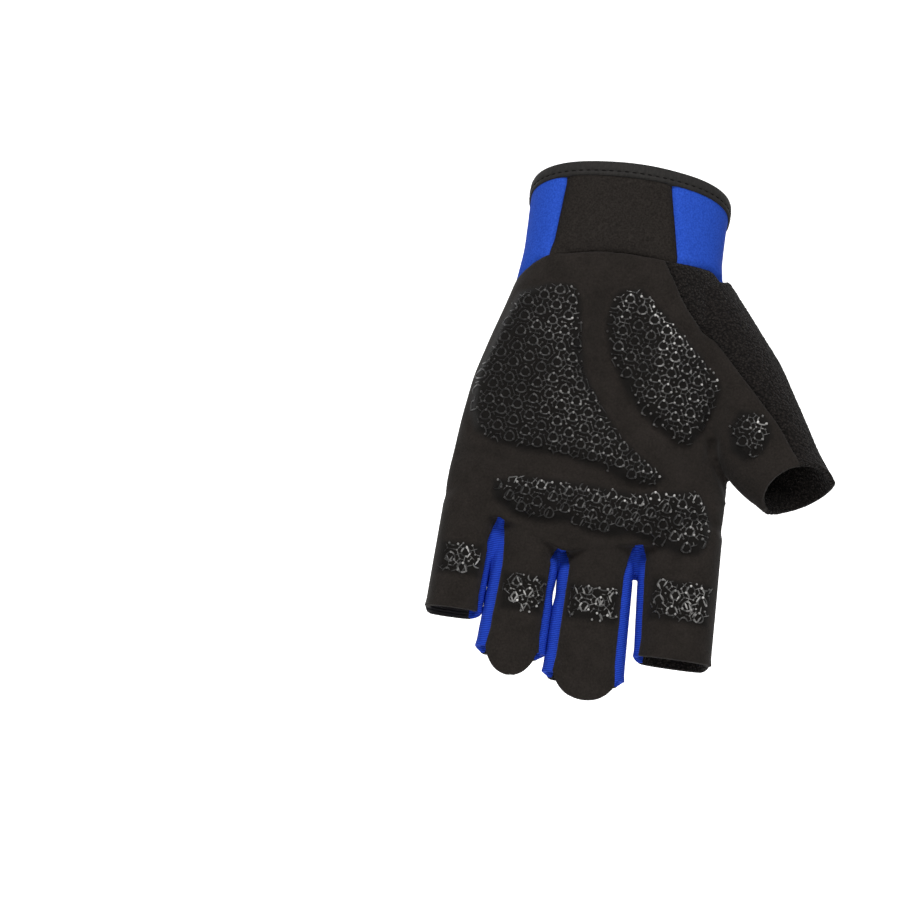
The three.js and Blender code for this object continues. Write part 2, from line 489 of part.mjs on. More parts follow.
const LOOKS = {
  palm_panel: [0x2c2825, 0.95], back_panel: [0x262526, 0.95], side_panel: [0x262221, 1.0],
  fourchette: [0x2346be, 0.85], cuff_palm_panel: [0x2b2724, 0.9], cuff_wrap: [0x2850c8, 0.85],
  rim_binding: [0x2a2928, 0.85], slit_binding: [0x1c1b1b, 0.85], wrist_strap: [0x3a3633, 0.9],
  pad: [0x181716, 0.45], band: [0x181716, 0.45],
};

const group = new THREE.Group();
function toMesh(solid, name) {
  const mesh = solid.getMesh();
  const geometry = new THREE.BufferGeometry();
  geometry.setAttribute('position', new THREE.BufferAttribute(new Float32Array(mesh.vertProperties), 3));
  geometry.setIndex(new THREE.BufferAttribute(new Uint32Array(mesh.triVerts), 1));
  geometry.computeVertexNormals();
  const [color, roughness] = LOOKS[name] ?? LOOKS[name.split('_')[0]];
  const out = new THREE.Mesh(geometry, new THREE.MeshStandardMaterial({ color, roughness, metalness: 0 }));
  out.name = name;
  return out;
}
for (const [name, solid] of pieces) {
  const parts = solid.decompose().filter((piece) => piece.volume() > 1);
  if (parts.length !== 1) throw new Error(`${name} is in ${parts.length} bodies`);
  group.add(toMesh(parts[0], name));
}

export default group;
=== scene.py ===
# %% [markdown]
# # A short-finger training glove for the left hand
# The glove is shown in its worn shape, palm to the camera and fingers down. Its palm is soft suede with
# silicone printed over puffed pads, its back is ribbed knit, and the thumb's outer side is looped terry.
# Blue ribbed strips fill the gaps between the fingers, and the cuff is black and blue stretch cloth with a
# bound rim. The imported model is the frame: each piece stands in for one of its nodes, but for the stitches.

import math
from collections import namedtuple

import bpy
import numpy as np
from mathutils import Matrix, Vector, noise
from mathutils.bvhtree import BVHTree
from mathutils.kdtree import KDTree


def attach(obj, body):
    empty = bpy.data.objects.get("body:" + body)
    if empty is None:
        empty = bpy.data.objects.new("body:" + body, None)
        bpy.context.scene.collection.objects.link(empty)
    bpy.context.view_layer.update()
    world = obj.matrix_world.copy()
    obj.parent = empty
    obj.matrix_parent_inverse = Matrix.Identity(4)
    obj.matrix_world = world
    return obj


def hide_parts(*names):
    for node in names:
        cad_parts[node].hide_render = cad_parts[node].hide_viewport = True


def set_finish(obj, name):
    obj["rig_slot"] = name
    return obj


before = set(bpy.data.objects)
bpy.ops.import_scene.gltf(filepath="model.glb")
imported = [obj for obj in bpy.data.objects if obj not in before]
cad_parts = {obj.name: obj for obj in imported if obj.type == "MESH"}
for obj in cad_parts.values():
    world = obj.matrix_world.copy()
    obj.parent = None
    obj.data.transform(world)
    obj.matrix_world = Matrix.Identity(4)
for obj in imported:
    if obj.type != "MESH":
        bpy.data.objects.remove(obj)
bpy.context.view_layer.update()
MM = 0.001
print("frame:", len(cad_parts), "nodes")

# %% [markdown]
# ## Sizes
# Millimetres, as on the pattern: +Z runs up the hand to the cuff, -Y is the palm, +X the thumb side.
# The tables hold sections of the hand as shares of the glove's driving sizes, one row a section. A
# level above the wrist seam is a share of the cuff's height, a level below it a share of the hand's length.

# %% Sizes
HAND_W = 98.0        # breadth over the knuckles
PALM_D = 40.0        # depth of the hand at the ball of the thumb
HAND_L = 97.0        # wrist seam to the crotch between index and middle finger
CUFF_H = 25.6        # wrist seam to the rim at the sides
CLOTH = 1.8          # thickness of the cloth
RIM_SLOPE = 0.3      # fall of the rim towards the back
TAPE_W = 4.6         # width of the binding tape
HALF = HAND_W / 2

# level, ulnar, radial half breadths, side line's depth, back, heel, valley, ball depths, lean, arch
BODY = np.array([
    [1.30, 0.692, 0.704, 0.240, 0.575, 0.575, 0.590, 0.575, 0.30, 0.0],
    [1.00, 0.690, 0.700, 0.200, 0.575, 0.575, 0.590, 0.575, 0.30, 0.0],
    [0.50, 0.682, 0.696, 0.130, 0.560, 0.560, 0.565, 0.560, 0.27, 0.0],
    [0.08, 0.682, 0.698, 0.080, 0.545, 0.540, 0.520, 0.545, 0.20, 0.0],
    [-0.07, 0.706, 0.745, 0.055, 0.535, 0.540, 0.480, 0.560, 0.12, 0.0],
    [-0.18, 0.760, 0.800, 0.040, 0.525, 0.560, 0.440, 0.590, 0.05, 0.0],
    [-0.31, 0.840, 0.850, 0.025, 0.510, 0.560, 0.405, 0.600, 0.0, 0.0],
    [-0.45, 0.915, 0.885, 0.015, 0.495, 0.530, 0.390, 0.550, 0.0, 0.0],
    [-0.60, 0.958, 0.905, 0.010, 0.475, 0.480, 0.395, 0.460, 0.0, 0.0],
    [-0.73, 0.980, 0.918, 0.000, 0.455, 0.430, 0.410, 0.420, 0.0, 0.2],
    [-0.83, 0.998, 0.918, -0.010, 0.400, 0.385, 0.395, 0.400, 0.0, 0.6],
    [-0.91, 1.000, 0.915, -0.020, 0.345, 0.325, 0.335, 0.335, 0.0, 0.9],
    [-0.97, 0.985, 0.900, -0.030, 0.285, 0.275, 0.280, 0.280, 0.0, 1.0],
])
ARCH = np.array([[-1.05, 0.040], [-0.600, 0.026], [-0.150, -0.060], [0.337, 0.0], [1.0, 0.020]])
PALM_STOPS = np.array([-1, -0.45, 0.02, 0.5, 1])     # across the palm: little-finger side to thumb side
SQUARE = 2.35        # 2 is an ellipse, more is squarer

# sides at the root and at the hem, hem level, tab in mm, depth
Stall = namedtuple("Stall", "name ulnar radial ulnar_hem radial_hem hem tab depth")
STALLS = [
    Stall("pinky", -0.996, -0.600, -1.026, -0.656, 1.272, 0.0, 0.245),
    Stall("ring", -0.566, -0.174, -0.633, -0.194, 1.385, 8.5, 0.26),
    Stall("middle", -0.130, 0.322, -0.159, 0.370, 1.440, 8.0, 0.265),
    Stall("index", 0.352, 0.920, 0.431, 0.949, 1.345, 0.0, 0.265),
]
PAIRS = list(zip(STALLS[:-1], STALLS[1:]))
STALL_ROOT = 0.80    # level inside the hand where the stalls start
ROOT_SWELL = 0.11    # how much deeper a stall is there
ROOT_NARROW = 0.7    # share of its section with which a stall starts, inside the hand
ROOT_TAPER = 0.10    # share of the hand's length over which it reaches its full section
CURL = -0.09         # how far the stalls bend towards the palm
CROTCH = 0.97        # level of the crotches between the fingers
WEB_DEPTHS = (20.0, 14.0, 11.0)      # how far each web between two fingers reaches below its crotch
WEB_Y, WEB_REACH, WEB_OVERLAP = 0.5, 6.5, 2.5    # depth of its middle, half depth, and hold on each stall
TAB_IN = 2.4         # how much narrower than its stall a pull tab is, on each side
BACK_HEM = 1.8       # how far the turned hem of the back shows below the palm side

# x, y, z of the axis, half breadth, half depth, lean on the palm side, lean on the back side
THUMB = np.array([
    [0.545, 0.0245, -0.0505, 0.23, 0.3675, 0.0, 0.0],
    [0.725, -0.0245, -0.2021, 0.27, 0.4165, 0.0, 0.0],
    [0.863, -0.098, -0.3486, 0.332, 0.4104, 0.0, 0.0],
    [1.059, -0.1837, -0.5355, 0.35, 0.3552, 0.1, 0.05],
    [1.21, -0.2572, -0.634, 0.312, 0.3124, 0.4, 0.15],
    [1.392, -0.3185, -0.7299, 0.25, 0.2879, 0.85, 0.25],
]) * np.array([HALF, PALM_D, HAND_L, HALF, PALM_D, 1, 1])
THUMB_MOUTH = np.array([0.47, -0.10, -0.88])
MOUTH_LEANS = (-0.75, -0.15)     # how the mouth slants on the palm side and on the back
MOUTH_FLAT = 0.915               # scale of a place's depth in that slant
MOUTH_FROM = 51.0                # breadth from which the thumb stands free of the hand


def mm_line(points, across=HALF):
    """A seam's points in mm: breadth or depth across, and a level."""
    return np.array([(a * across, z * (CUFF_H if z > 0 else HAND_L)) for a, z in points])


CUFF_SEAM_FRONT = mm_line([(-1.2245, -0.0515), (-0.6939, -0.0515), (-0.5102, -0.0155), (-0.2041, 0.0391),
                           (0, 0.0664), (0.3061, 0.0391), (0.6939, 0.0586), (1.2245, 0.0586)])
CUFF_SEAM_BACK = mm_line([(-1.2245, -0.0825), (-0.7347, -0.1237), (-0.5714, -0.3196), (-0.2041, -0.4021),
                          (0.1633, -0.4124), (0.449, -0.3814), (0.5918, -0.2474), (0.6939, -0.0825),
                          (0.7755, 0), (1.2245, 0.0391)])
CUFF_ULNAR_SEAM = mm_line([(-0.5347, -0.1237), (-0.5163, 0.0195), (-0.4735, 1.0742), (-0.4592, 2.3438)])
CUFF_RADIAL_SEAM = mm_line([(0.3776, -0.0825), (0.3531, 0.1484), (0.2449, 1.1719), (0.1837, 2.3438)])
DIAGONAL_SEAM = mm_line([(0.1388, 0.4141), (0.2776, 0.0039), (0.3571, -0.0619), (0.4184, -0.1124),
                         (0.4776, -0.1526), (0.5776, -0.2082), (0.7163, -0.2691), (0.8776, -0.3546),
                         (1.0776, -0.4557), (1.1755, -0.5062), (1.2959, -0.5918), (1.4551, -0.7577),
                         (1.60, -0.95)])
BACK_SEAM_LINE = mm_line([(0.3857, -1.1546), (0.3735, -0.9278), (0.3878, -0.7216), (0.4184, -0.4124),
                          (0.449, -0.1031)])
SIDE_SEAM = mm_line([(-0.075, -1.7526), (-0.0125, -0.9278), (0.0125, -0.6186), (0.0625, -0.3093),
                     (0.2, 0), (0.225, 0.3906)], PALM_D)
THUMB_SEAM = np.array([(0.6122, -0.0375), (0.9388, -0.0375), (1.102, -0.175), (1.2653, -0.3125),
                       (1.8367, -0.325)]) * np.array([HALF, PALM_D])
SEAM_TURN = 22.0     # depth over which the cuff's front seam turns into its back seam
# how far towards the palm the seams on each slot's two sides lie, as shares of half the stalls' depth
SLOT_SEAMS = np.array([(0.52, 0.68), (0.58, 0.60), (0.70, 0.45)])
SLOT_PEAK = 0.85     # where those seams meet at the slot's peak
BACK_SEAM = 0.55     # the same for their seams with the back
SLOT_TOP = 0.88      # level above which nothing is cut for the slots
SLOT_D = 0.26        # half the stalls' depth, on which those shares count
SLOT_ARCH = np.array([0.13, 0.34, 0.26])     # how fast each slot opens below its peak
SLOT_TIP = np.array([10.0, 4.0, 4.0])        # over how much height below the peak the seams part

PADS = {
    "hypothenar": mm_line([
        (-0.6816, -0.1588), (-0.5, -0.1237), (-0.3204, -0.1237), (-0.2714, -0.1691), (-0.251, -0.2495),
        (-0.2204, -0.3402), (-0.1816, -0.4113), (-0.102, -0.4722), (-0.002, -0.5423), (0.1184, -0.6134),
        (0.2571, -0.6732), (0.4571, -0.734), (0.3776, -0.7732), (0.2184, -0.768), (0.0388, -0.734),
        (-0.0816, -0.7277), (-0.2204, -0.71), (-0.3816, -0.709), (-0.5204, -0.706), (-0.7, -0.692),
        (-0.8496, -0.6543), (-0.9, -0.584), (-0.9, -0.4619), (-0.8408, -0.3814), (-0.7612, -0.2598)]),
    "thenar": mm_line([
        (-0.002, -0.1134), (0.1388, -0.1041), (0.2184, -0.1392), (0.3388, -0.199), (0.4776, -0.2598),
        (0.6163, -0.3206), (0.7367, -0.3814), (0.7571, -0.4216), (0.7367, -0.4722), (0.6776, -0.5423),
        (0.598, -0.6134), (0.5184, -0.6134), (0.3776, -0.5732), (0.2388, -0.5227), (0.1388, -0.4619),
        (0.0592, -0.401), (-0.0122, -0.3402), (-0.051, -0.2804), (-0.0714, -0.2196), (-0.0408, -0.1392)]),
    "finger_base": mm_line([
        (-0.6816, -0.8237), (-0.5, -0.799), (-0.0224, -0.799), (0.2571, -0.8093), (0.4571, -0.7887),
        (0.6776, -0.768), (0.7673, -0.8093), (0.8061, -0.8598), (0.8061, -0.9299), (0.7571, -0.9753),
        (0.6367, -0.9856), (0.4571, -0.9598), (0.2776, -0.9402), (0.1388, -0.9546), (-0.0224, -0.9505),
        (-0.1408, -0.9299), (-0.3612, -0.9396), (-0.5204, -0.922), (-0.6608, -0.8798)]),
    "thumb": mm_line([
        (0.8959, -0.4814), (0.9959, -0.4773), (1.0959, -0.5021), (1.1265, -0.5526), (1.0776, -0.6134),
        (0.9776, -0.6433), (0.8878, -0.6134), (0.8469, -0.5423)]),
}
# sides, top and foot of the print on each stall
BANDS = {
    "pinky": (-0.9796, -0.7, -1.0505, -1.1557),
    "ring": (-0.5245, -0.2449, -1.1309, -1.2515),
    "middle": (-0.0653, 0.2571, -1.1361, -1.2515),
    "index": (0.4776, 0.8776, -1.0804, -1.2165),
}
SLIT_X, SLIT_GAP, SLIT_FOOT = 22.4, 1.2, -24.0       # the slit's place across, its width and its foot
KEYHOLE_R, KEYHOLE_HOLE = 6.0, 2.2                   # radius of the gathered loop and of its hole
STRAP_FROM, STRAP_FOOT, STRAP_CORNER = -31.5, -27.0, 13.0    # little-finger end, foot, corner radius

# %% [markdown]
# ## The camera
# It looks at the palm from a little below the wrist and is rolled a few degrees, so the fingers lean as
# they do in the photograph. It comes before anything is built, so each piece can be judged through it.

# %% Camera
TILT, ROLL = math.radians(8.0), math.radians(8.0)
DISTANCE, FIELD = 1000.0, 306.0
up = Vector((0, -math.sin(TILT), math.cos(TILT)))
ahead = Vector((0, math.cos(TILT), math.sin(TILT)))
aim = Vector((-49.3, 0, 0)) - 69.4 * up
bpy.ops.object.camera_add(location=(aim - DISTANCE * ahead) * MM)
camera = bpy.context.object
right_hand = math.cos(ROLL) * Vector((1, 0, 0)) + math.sin(ROLL) * up
upright = math.cos(ROLL) * up - math.sin(ROLL) * Vector((1, 0, 0))
camera.matrix_world = Matrix.Translation((aim - DISTANCE * ahead) * MM) @ Matrix(
    (right_hand, upright, -ahead)).transposed().to_4x4()
camera.data.angle = 2 * math.atan(FIELD / 2 / DISTANCE)
bpy.context.scene.camera = camera
print("camera at", [round(v, 3) for v in camera.location])

# %% [markdown]
# ## The worn shape
# A real glove is sewn flat and takes its shape from the hand. Here the shape comes first: the hand, the
# four finger stalls and the thumb are lofted from their sections, melted into one smooth body by a voxel
# remesh, and the cloth panels are then cut out of its skin along the seams.

# %% Lofts
def step(value, low, high):
    """0 below low, 1 above high, smooth between."""
    t = np.clip((value - low) / (high - low), 0, 1)
    return t * t * (3 - 2 * t)


def eased(where, at, values, reach=3.0):
    """A table's column on straight lines between its rows, with the corners rounded off over reach."""
    order = np.argsort(at)
    return np.mean([np.interp(where + off, at[order], values[order])
                    for off in np.linspace(-reach, reach, 9)], axis=0)


def arch_at(x):
    """How far the knuckles' line stands above its mean, as a share of the hand's length."""
    return eased(x / HALF, ARCH[:, 0], ARCH[:, 1], 0.06)


BODY_LEVELS = BODY[:, 0] * np.where(BODY[:, 0] > 0, CUFF_H, HAND_L)


def superellipse(count):
    """Cosine and sine round a squarish section."""
    turn = np.arange(count) * 2 * np.pi / count
    wave = np.stack([np.cos(turn), np.sin(turn)])
    return np.sign(wave) * np.abs(wave) ** (2 / SQUARE)


def hand_ring(level, grow=0.0, count=120, shrink=(1.0, 1.0)):
    """The hand's section at a level, grown by so many mm."""
    ulnar, radial, mid, back, heel, valley, ball, lean, arch = [
        float(eased(level, BODY_LEVELS, BODY[:, k])) for k in range(1, 10)]
    u, v = superellipse(count)
    ulnar, radial = ulnar * HALF * shrink[0] + grow, radial * HALF * shrink[0] + grow
    depths = np.array([heel, heel, valley, ball, ball])
    before = np.clip(np.searchsorted(PALM_STOPS, u) - 1, 0, 3)
    t = (u - PALM_STOPS[before]) / (PALM_STOPS[before + 1] - PALM_STOPS[before])
    palm = depths[before] + (0.5 - 0.5 * np.cos(np.pi * t)) * (depths[before + 1] - depths[before])
    depth = np.where(v > 0, back, palm) * PALM_D * shrink[1] + grow
    x = (radial - ulnar) / 2 + (radial + ulnar) / 2 * u
    y = mid * PALM_D + depth * v
    return np.stack([x, y, level + arch * arch_at(x) * HAND_L - lean * (y - mid * PALM_D)], axis=1)


def stall_edge(stall, z):
    """Ulnar and radial side of a stall, its axis depth and its half depth, at a height z."""
    share = (-z / HAND_L - STALL_ROOT) / (stall.hem - STALL_ROOT)
    swell = 1 + ROOT_SWELL * np.clip(1 - share * 2.5, 0, 1)
    return ((stall.ulnar + (stall.ulnar_hem - stall.ulnar) * share) * HALF,
            (stall.radial + (stall.radial_hem - stall.radial) * share) * HALF,
            CURL * PALM_D * share, stall.depth * PALM_D * swell)


def stall_rings(stall, past=12.0, count=48):
    """Sections of a stall from inside the hand to past its hem."""
    rings = []
    u, v = superellipse(count)
    for z in np.arange(-HAND_L * STALL_ROOT, -HAND_L * stall.hem - stall.tab - past, -2.0):
        ulnar, radial, axis, deep = stall_edge(stall, z)
        sunk = ROOT_NARROW + (1 - ROOT_NARROW) * np.clip((-z / HAND_L - STALL_ROOT) / ROOT_TAPER, 0, 1)
        x = (ulnar + radial) / 2 + (radial - ulnar) / 2 * u * sunk
        rings.append(np.stack([x, axis + deep * v * sunk, np.full(count, z)], axis=1))
    return rings


def thumb_rings(past=9.0, count=64):
    """Sections of the thumb from inside the hand to past its mouth."""
    end = THUMB[-1].copy()
    end[:3] += 20 * THUMB_MOUTH
    rows = np.vstack([THUMB, end])
    at = np.concatenate([[0], np.cumsum(np.linalg.norm(np.diff(rows[:, :3], axis=0), axis=1))])
    rings = []
    turn = np.arange(count) * 2 * np.pi / count
    for place in np.arange(0, at[-2] + past, 2.0):
        here = np.array([eased(place, at, rows[:, k], 4.0) for k in range(7)])
        ahead_of = np.array([eased(place + 2, at, rows[:, k], 4.0) for k in range(3)])
        along = (ahead_of - here[:3]) / np.linalg.norm(ahead_of - here[:3])
        across = np.cross([0, -1, 0], along)
        across /= np.linalg.norm(across)
        near = np.sin(turn) * here[4]
        lean = np.where(near > 0, -here[5] * near, -here[6] * near)
        rings.append(here[:3] + np.outer(np.cos(turn) * here[3], across)
                     + np.outer(near, [0, -1, 0]) + np.outer(lean, along))
    return rings


def web_rings(left, right, depth, count=32):
    """The web between two fingers: it sags lowest half way from palm to back."""
    rings = []
    u, v = superellipse(count)
    above = 5
    for share in np.linspace(0, 0.96, 9):
        z = -HAND_L * CROTCH + above - (depth + above) * share
        x0, x1 = stall_edge(left, z)[1] - WEB_OVERLAP, stall_edge(right, z)[0] + WEB_OVERLAP
        reach = WEB_REACH * math.sqrt(1 - share ** 2)
        x = (x0 + x1) / 2 + (x1 - x0) / 2 * u
        rings.append(np.stack([x, WEB_Y + reach * v, np.full(count, z)], axis=1))
    return rings


def woven(rings, caps=True, closed=False):
    """Vertices and faces through rows of points, the last row joined to the first if closed."""
    count, rows = len(rings[0]), len(rings)
    faces = []
    for r in range(rows if closed else rows - 1):
        up = count if r < rows - 1 else -r * count
        for i in range(count):
            a, b = r * count + i, r * count + (i + 1) % count
            faces.append((a, b, b + up, a + up))
    if caps:
        faces.append(tuple(range(count))[::-1])
        faces.append(tuple(range((rows - 1) * count, rows * count)))
    return np.concatenate(rings), faces


class Heap:
    """Many small bodies gathered as one list of vertices and faces."""

    def __init__(self):
        self.verts, self.faces = [], []

    def add(self, shape):
        base = len(self.verts)
        self.verts.extend(shape[0])
        self.faces.extend(tuple(i + base for i in face) for face in shape[1])


levels = np.arange(BODY_LEVELS[0] + 10, BODY_LEVELS[-1], -2.0)
hand = [hand_ring(level) for level in levels] + [hand_ring(BODY_LEVELS[-1])]
hand.append(hand_ring(BODY_LEVELS[-1] - 1.2, shrink=(0.96, 0.7)))
lofts = Heap()
for rings in [hand, thumb_rings()] + [stall_rings(stall) for stall in STALLS]:
    lofts.add(woven(rings))
for (left, right), depth in zip(PAIRS, WEB_DEPTHS):
    lofts.add(woven(web_rings(left, right, depth)))
print("lofts:", len(lofts.faces), "faces")

# %% [markdown]
# The slots between the fingers are narrower than the remesh could keep apart, so the stalls are spread
# by a few millimetres for it and closed again afterwards, as when fingers are spread to sew between them.

# %% One body
VOXEL = 0.9
ROUNDS = 14
SPREAD = 2.6
SPREAD_FROM, SPREAD_OVER = 0.78, 0.08    # shares of the hand's length


def spread(points, close=False):
    """Widens the slots between the stalls, or closes them again."""
    x, z = points[:, 0], points[:, 2]
    amount = SPREAD * np.clip((-z / HAND_L - SPREAD_FROM) / SPREAD_OVER, 0, 1)
    moved = x.copy()
    passed = np.zeros(len(x))
    for left, right in PAIRS:
        start = stall_edge(left, z)[1]
        width = stall_edge(right, z)[0] - start
        if close:
            moved -= amount * np.clip((x - start - passed) / (width + amount), 0, 1)
            passed = passed + amount
        else:
            moved += amount * np.clip((x - start) / width, 0, 1)
    return np.stack([moved, points[:, 1], z], axis=1)


def add_mesh(name, verts, faces, scale=MM):
    """A new object with this mesh, at the origin."""
    mesh = bpy.data.meshes.new(name)
    mesh.from_pydata(np.asarray(verts) * scale, [], [tuple(map(int, face)) for face in faces])
    mesh.update()
    piece = bpy.data.objects.new(name, mesh)
    bpy.context.collection.objects.link(piece)
    return piece


def only(piece):
    """Selects one object alone and makes it active."""
    bpy.ops.object.select_all(action="DESELECT")
    piece.select_set(True)
    bpy.context.view_layer.objects.active = piece


def smooth(piece, angle=60):
    """Shades a piece smooth but for edges sharper than the angle."""
    only(piece)
    bpy.ops.object.shade_smooth_by_angle(angle=math.radians(angle))
    return piece


melted = add_mesh("melted", spread(np.array(lofts.verts)), lofts.faces, 1.0)
only(melted)
melted.data.remesh_voxel_size = VOXEL
bpy.ops.object.voxel_remesh()
skin_verts = np.empty(len(melted.data.vertices) * 3)
melted.data.vertices.foreach_get("co", skin_verts)
skin_verts = skin_verts.reshape(-1, 3)
quads = np.array([tuple(face.vertices) for face in melted.data.polygons if len(face.vertices) == 4])
bpy.data.objects.remove(melted, do_unlink=True)
diagonal = (np.linalg.norm(skin_verts[quads[:, 0]] - skin_verts[quads[:, 2]], axis=1)
            < np.linalg.norm(skin_verts[quads[:, 1]] - skin_verts[quads[:, 3]], axis=1))
skin_faces = np.concatenate([quads[diagonal][:, [0, 1, 2]], quads[diagonal][:, [0, 2, 3]],
                             quads[~diagonal][:, [0, 1, 3]], quads[~diagonal][:, [1, 2, 3]]])


def sides_of(triangles):
    """The three sides of every triangle, as pairs of corners."""
    return np.concatenate([triangles[:, pair] for pair in ([0, 1], [1, 2], [2, 0])])


def gathered(where, rows, count):
    """The sum of the rows that belong to each of so many places."""
    return np.stack([np.bincount(where, rows[:, k], count) for k in range(3)], axis=1)


def unit_rows(rows):
    """Directions of length one."""
    return rows / np.maximum(np.linalg.norm(rows, axis=1, keepdims=True), 1e-9)


def relax(points, triangles, rounds):
    """Irons the voxel steps out without shrinking the body."""
    one, two = sides_of(triangles).T
    size = len(points)
    count = (np.bincount(one, minlength=size) + np.bincount(two, minlength=size))[:, None]
    for turn in range(rounds):
        for pull in (0.5, -0.52):
            total = gathered(one, points[two], size) + gathered(two, points[one], size)
            points = points + pull * (total / np.maximum(count, 1) - points)
    return points


def normals_of(points, triangles):
    """Smooth vertex normals."""
    a, b, c = (points[triangles[:, k]] for k in range(3))
    flat = np.cross(b - a, c - a)
    return unit_rows(sum(gathered(triangles[:, k], flat, len(points)) for k in range(3)))


skin_verts = relax(skin_verts, skin_faces, ROUNDS)
skin_verts = spread(skin_verts, close=True)
skin_normals = normals_of(skin_verts, skin_faces)
print("skin:", len(skin_verts), "points,", len(skin_faces), "triangles")

# %% [markdown]
# ## Cutting the panels
# Each seam is a line that some simple measure draws on the skin, such as the height above the wrist seam
# or the depth behind the side seam. Where the measure changes sign inside a triangle, the triangle is
# split along the line, so every panel ends in a clean edge and shares it with its neighbour.

# %% Cut
PALM, BACK, SIDE, SLOT_PR, SLOT_RM, SLOT_MI, CUFF_PALM, CUFF_WRAP, GONE = range(9)
NEAR_ENOUGH = 0.1    # a corner this close to the line counts as on it


class Skin:
    """Points, normals, triangles and the panel that each triangle belongs to."""

    def __init__(self, points, normals, triangles):
        self.points, self.normals, self.triangles = points, normals, triangles
        self.panel = np.full(len(triangles), PALM)

    def cut(self, measure, old, new):
        """Gives the part of panel old where measure is below zero to panel new."""
        value = measure(self.points)
        value[np.abs(value) < NEAR_ENOUGH] = 0
        corner = np.sign(value)[self.triangles]
        crossed = (self.panel == old) & (corner.min(1) < 0) & (corner.max(1) > 0)
        todo = np.where(crossed)[0]
        sign = corner[todo]
        one = (sign == 0).any(1)
        two = ~one
        lone = np.where(sign.sum(1) > 0, -1, 1)
        first = np.where(one, np.argmax(sign == 0, axis=1), np.argmax(sign == lone[:, None], axis=1))
        a, b, c = np.take_along_axis(self.triangles[todo], (first[:, None] + np.arange(3)) % 3, axis=1).T
        edges = np.concatenate([np.stack([b[one], c[one]], 1), np.stack([a[two], b[two]], 1),
                                np.stack([a[two], c[two]], 1)])
        if len(edges):
            unique, where = np.unique(np.sort(edges, axis=1), axis=0, return_inverse=True)
            where = where.ravel() + len(self.points)
            share = (value[unique[:, 0]] / (value[unique[:, 0]] - value[unique[:, 1]]))[:, None]
            self.points, self.normals = (
                np.concatenate([array, array[unique[:, 0]] * (1 - share) + array[unique[:, 1]] * share])
                for array in (self.points, self.normals))
            value = np.concatenate([value, np.zeros(len(unique))])
            m, ab, ac = np.split(where, [one.sum(), one.sum() + two.sum()])
            added = np.concatenate([np.stack(corners, 1) for corners in (
                (a[one], b[one], m), (a[one], m, c[one]), (a[two], ab, ac),
                (ab, b[two], c[two]), (ab, c[two], ac))])
            self.triangles = np.concatenate([self.triangles[~crossed], added])
            self.panel = np.concatenate([self.panel[~crossed], np.full(len(added), old)])
        below = value[self.triangles].sum(1) < 0
        self.panel[(self.panel == old) & below] = new


def over(line, z):
    """The first column of a seam line at the height z."""
    return eased(z, line[:, 1], line[:, 0], 1.5)


def along_x(line, x):
    """The second column of a seam line at the breadth x."""
    return eased(x, line[:, 0], line[:, 1])


def from_stretch(p, a, b):
    """Distance in plan from a straight stretch of line, and a number whose sign tells the side."""
    d = b - a
    t = np.clip((p - a) @ d / (d @ d), 0, 1)
    away = p - a - t[:, None] * d
    return np.linalg.norm(away, axis=1), away[:, 1] * d[0] - away[:, 0] * d[1]


def from_line(points, line):
    """Distance in plan from a seam line, positive towards +X where the line runs downward."""
    p = points[:, [0, 2]]
    best = np.full(len(p), 1e9)
    signed = np.zeros(len(p))
    for a, b in zip(line[:-1], line[1:]):
        dist, side = from_stretch(p, a, b)
        signed = np.where(dist < best, dist * np.sign(side), signed)
        best = np.minimum(best, dist)
    return signed


def inside(points, outline):
    """Distance in plan inside a closed outline, negative outside."""
    p = points[:, [0, 2]]
    best = np.full(len(p), 1e9)
    odd = np.zeros(len(p), bool)
    for a, b in zip(outline, np.roll(outline, -1, axis=0)):
        best = np.minimum(best, from_stretch(p, a, b)[0])
        with np.errstate(divide="ignore", invalid="ignore"):
            crossing = a[0] + (p[:, 1] - a[1]) / (b[1] - a[1]) * (b[0] - a[0])
        odd ^= ((a[1] > p[:, 1]) != (b[1] > p[:, 1])) & (p[:, 0] < crossing)
    return np.where(odd, best, -best)


def above_rim(p):
    """Height above the cuff's rim, which lies a little under the tape."""
    return p[:, 2] - (CUFF_H - 0.9 - RIM_SLOPE * (p[:, 1] - BODY[1, 3] * PALM_D))


def above_cuff_seam(p):
    """Height above the wrist seam, which runs lower over the back."""
    t = step(p[:, 1], -SEAM_TURN / 2, SEAM_TURN / 2)
    return p[:, 2] - (along_x(CUFF_SEAM_FRONT, p[:, 0]) * (1 - t) + along_x(CUFF_SEAM_BACK, p[:, 0]) * t)


def past_mouth(p):
    """How far a place lies past the thumb's slanted mouth."""
    from_end = p - THUMB[-1, :3]
    near = -from_end[:, 1] / MOUTH_FLAT
    lean = np.where(near > 0, MOUTH_LEANS[0] * near, MOUTH_LEANS[1] * near)
    return np.minimum(from_end @ THUMB_MOUTH - lean, p[:, 0] - MOUTH_FROM)


def slot_middles(z):
    """The middle of each slot between two stalls at a height z."""
    return np.array([(stall_edge(left, z)[1] + stall_edge(right, z)[0]) / 2 for left, right in PAIRS])


def past_hem(p):
    """How far a place lies past its stall's hem, with the pull tabs left on at the palm."""
    x, y, z = p.T
    which = (x > slot_middles(z)).sum(0)
    out = np.zeros(len(p))
    for k, stall in enumerate(STALLS):
        hem = -HAND_L * stall.hem - BACK_HEM * step(y, -1, 3)
        gone = hem - z
        if stall.tab:
            u, r, axis, deep = stall_edge(stall, -HAND_L * stall.hem)
            across = np.clip(np.abs(x - (u + r) / 2) / ((r - u) / 2 - TAB_IN), 0, 1)
            tab = hem + 1 - (stall.tab + 1) * np.sqrt(1 - across ** 2)
            gone = np.minimum(gone, np.maximum(tab - z, y - (axis - deep + 4)))
        out = np.where(which == k, gone, out)
    return out


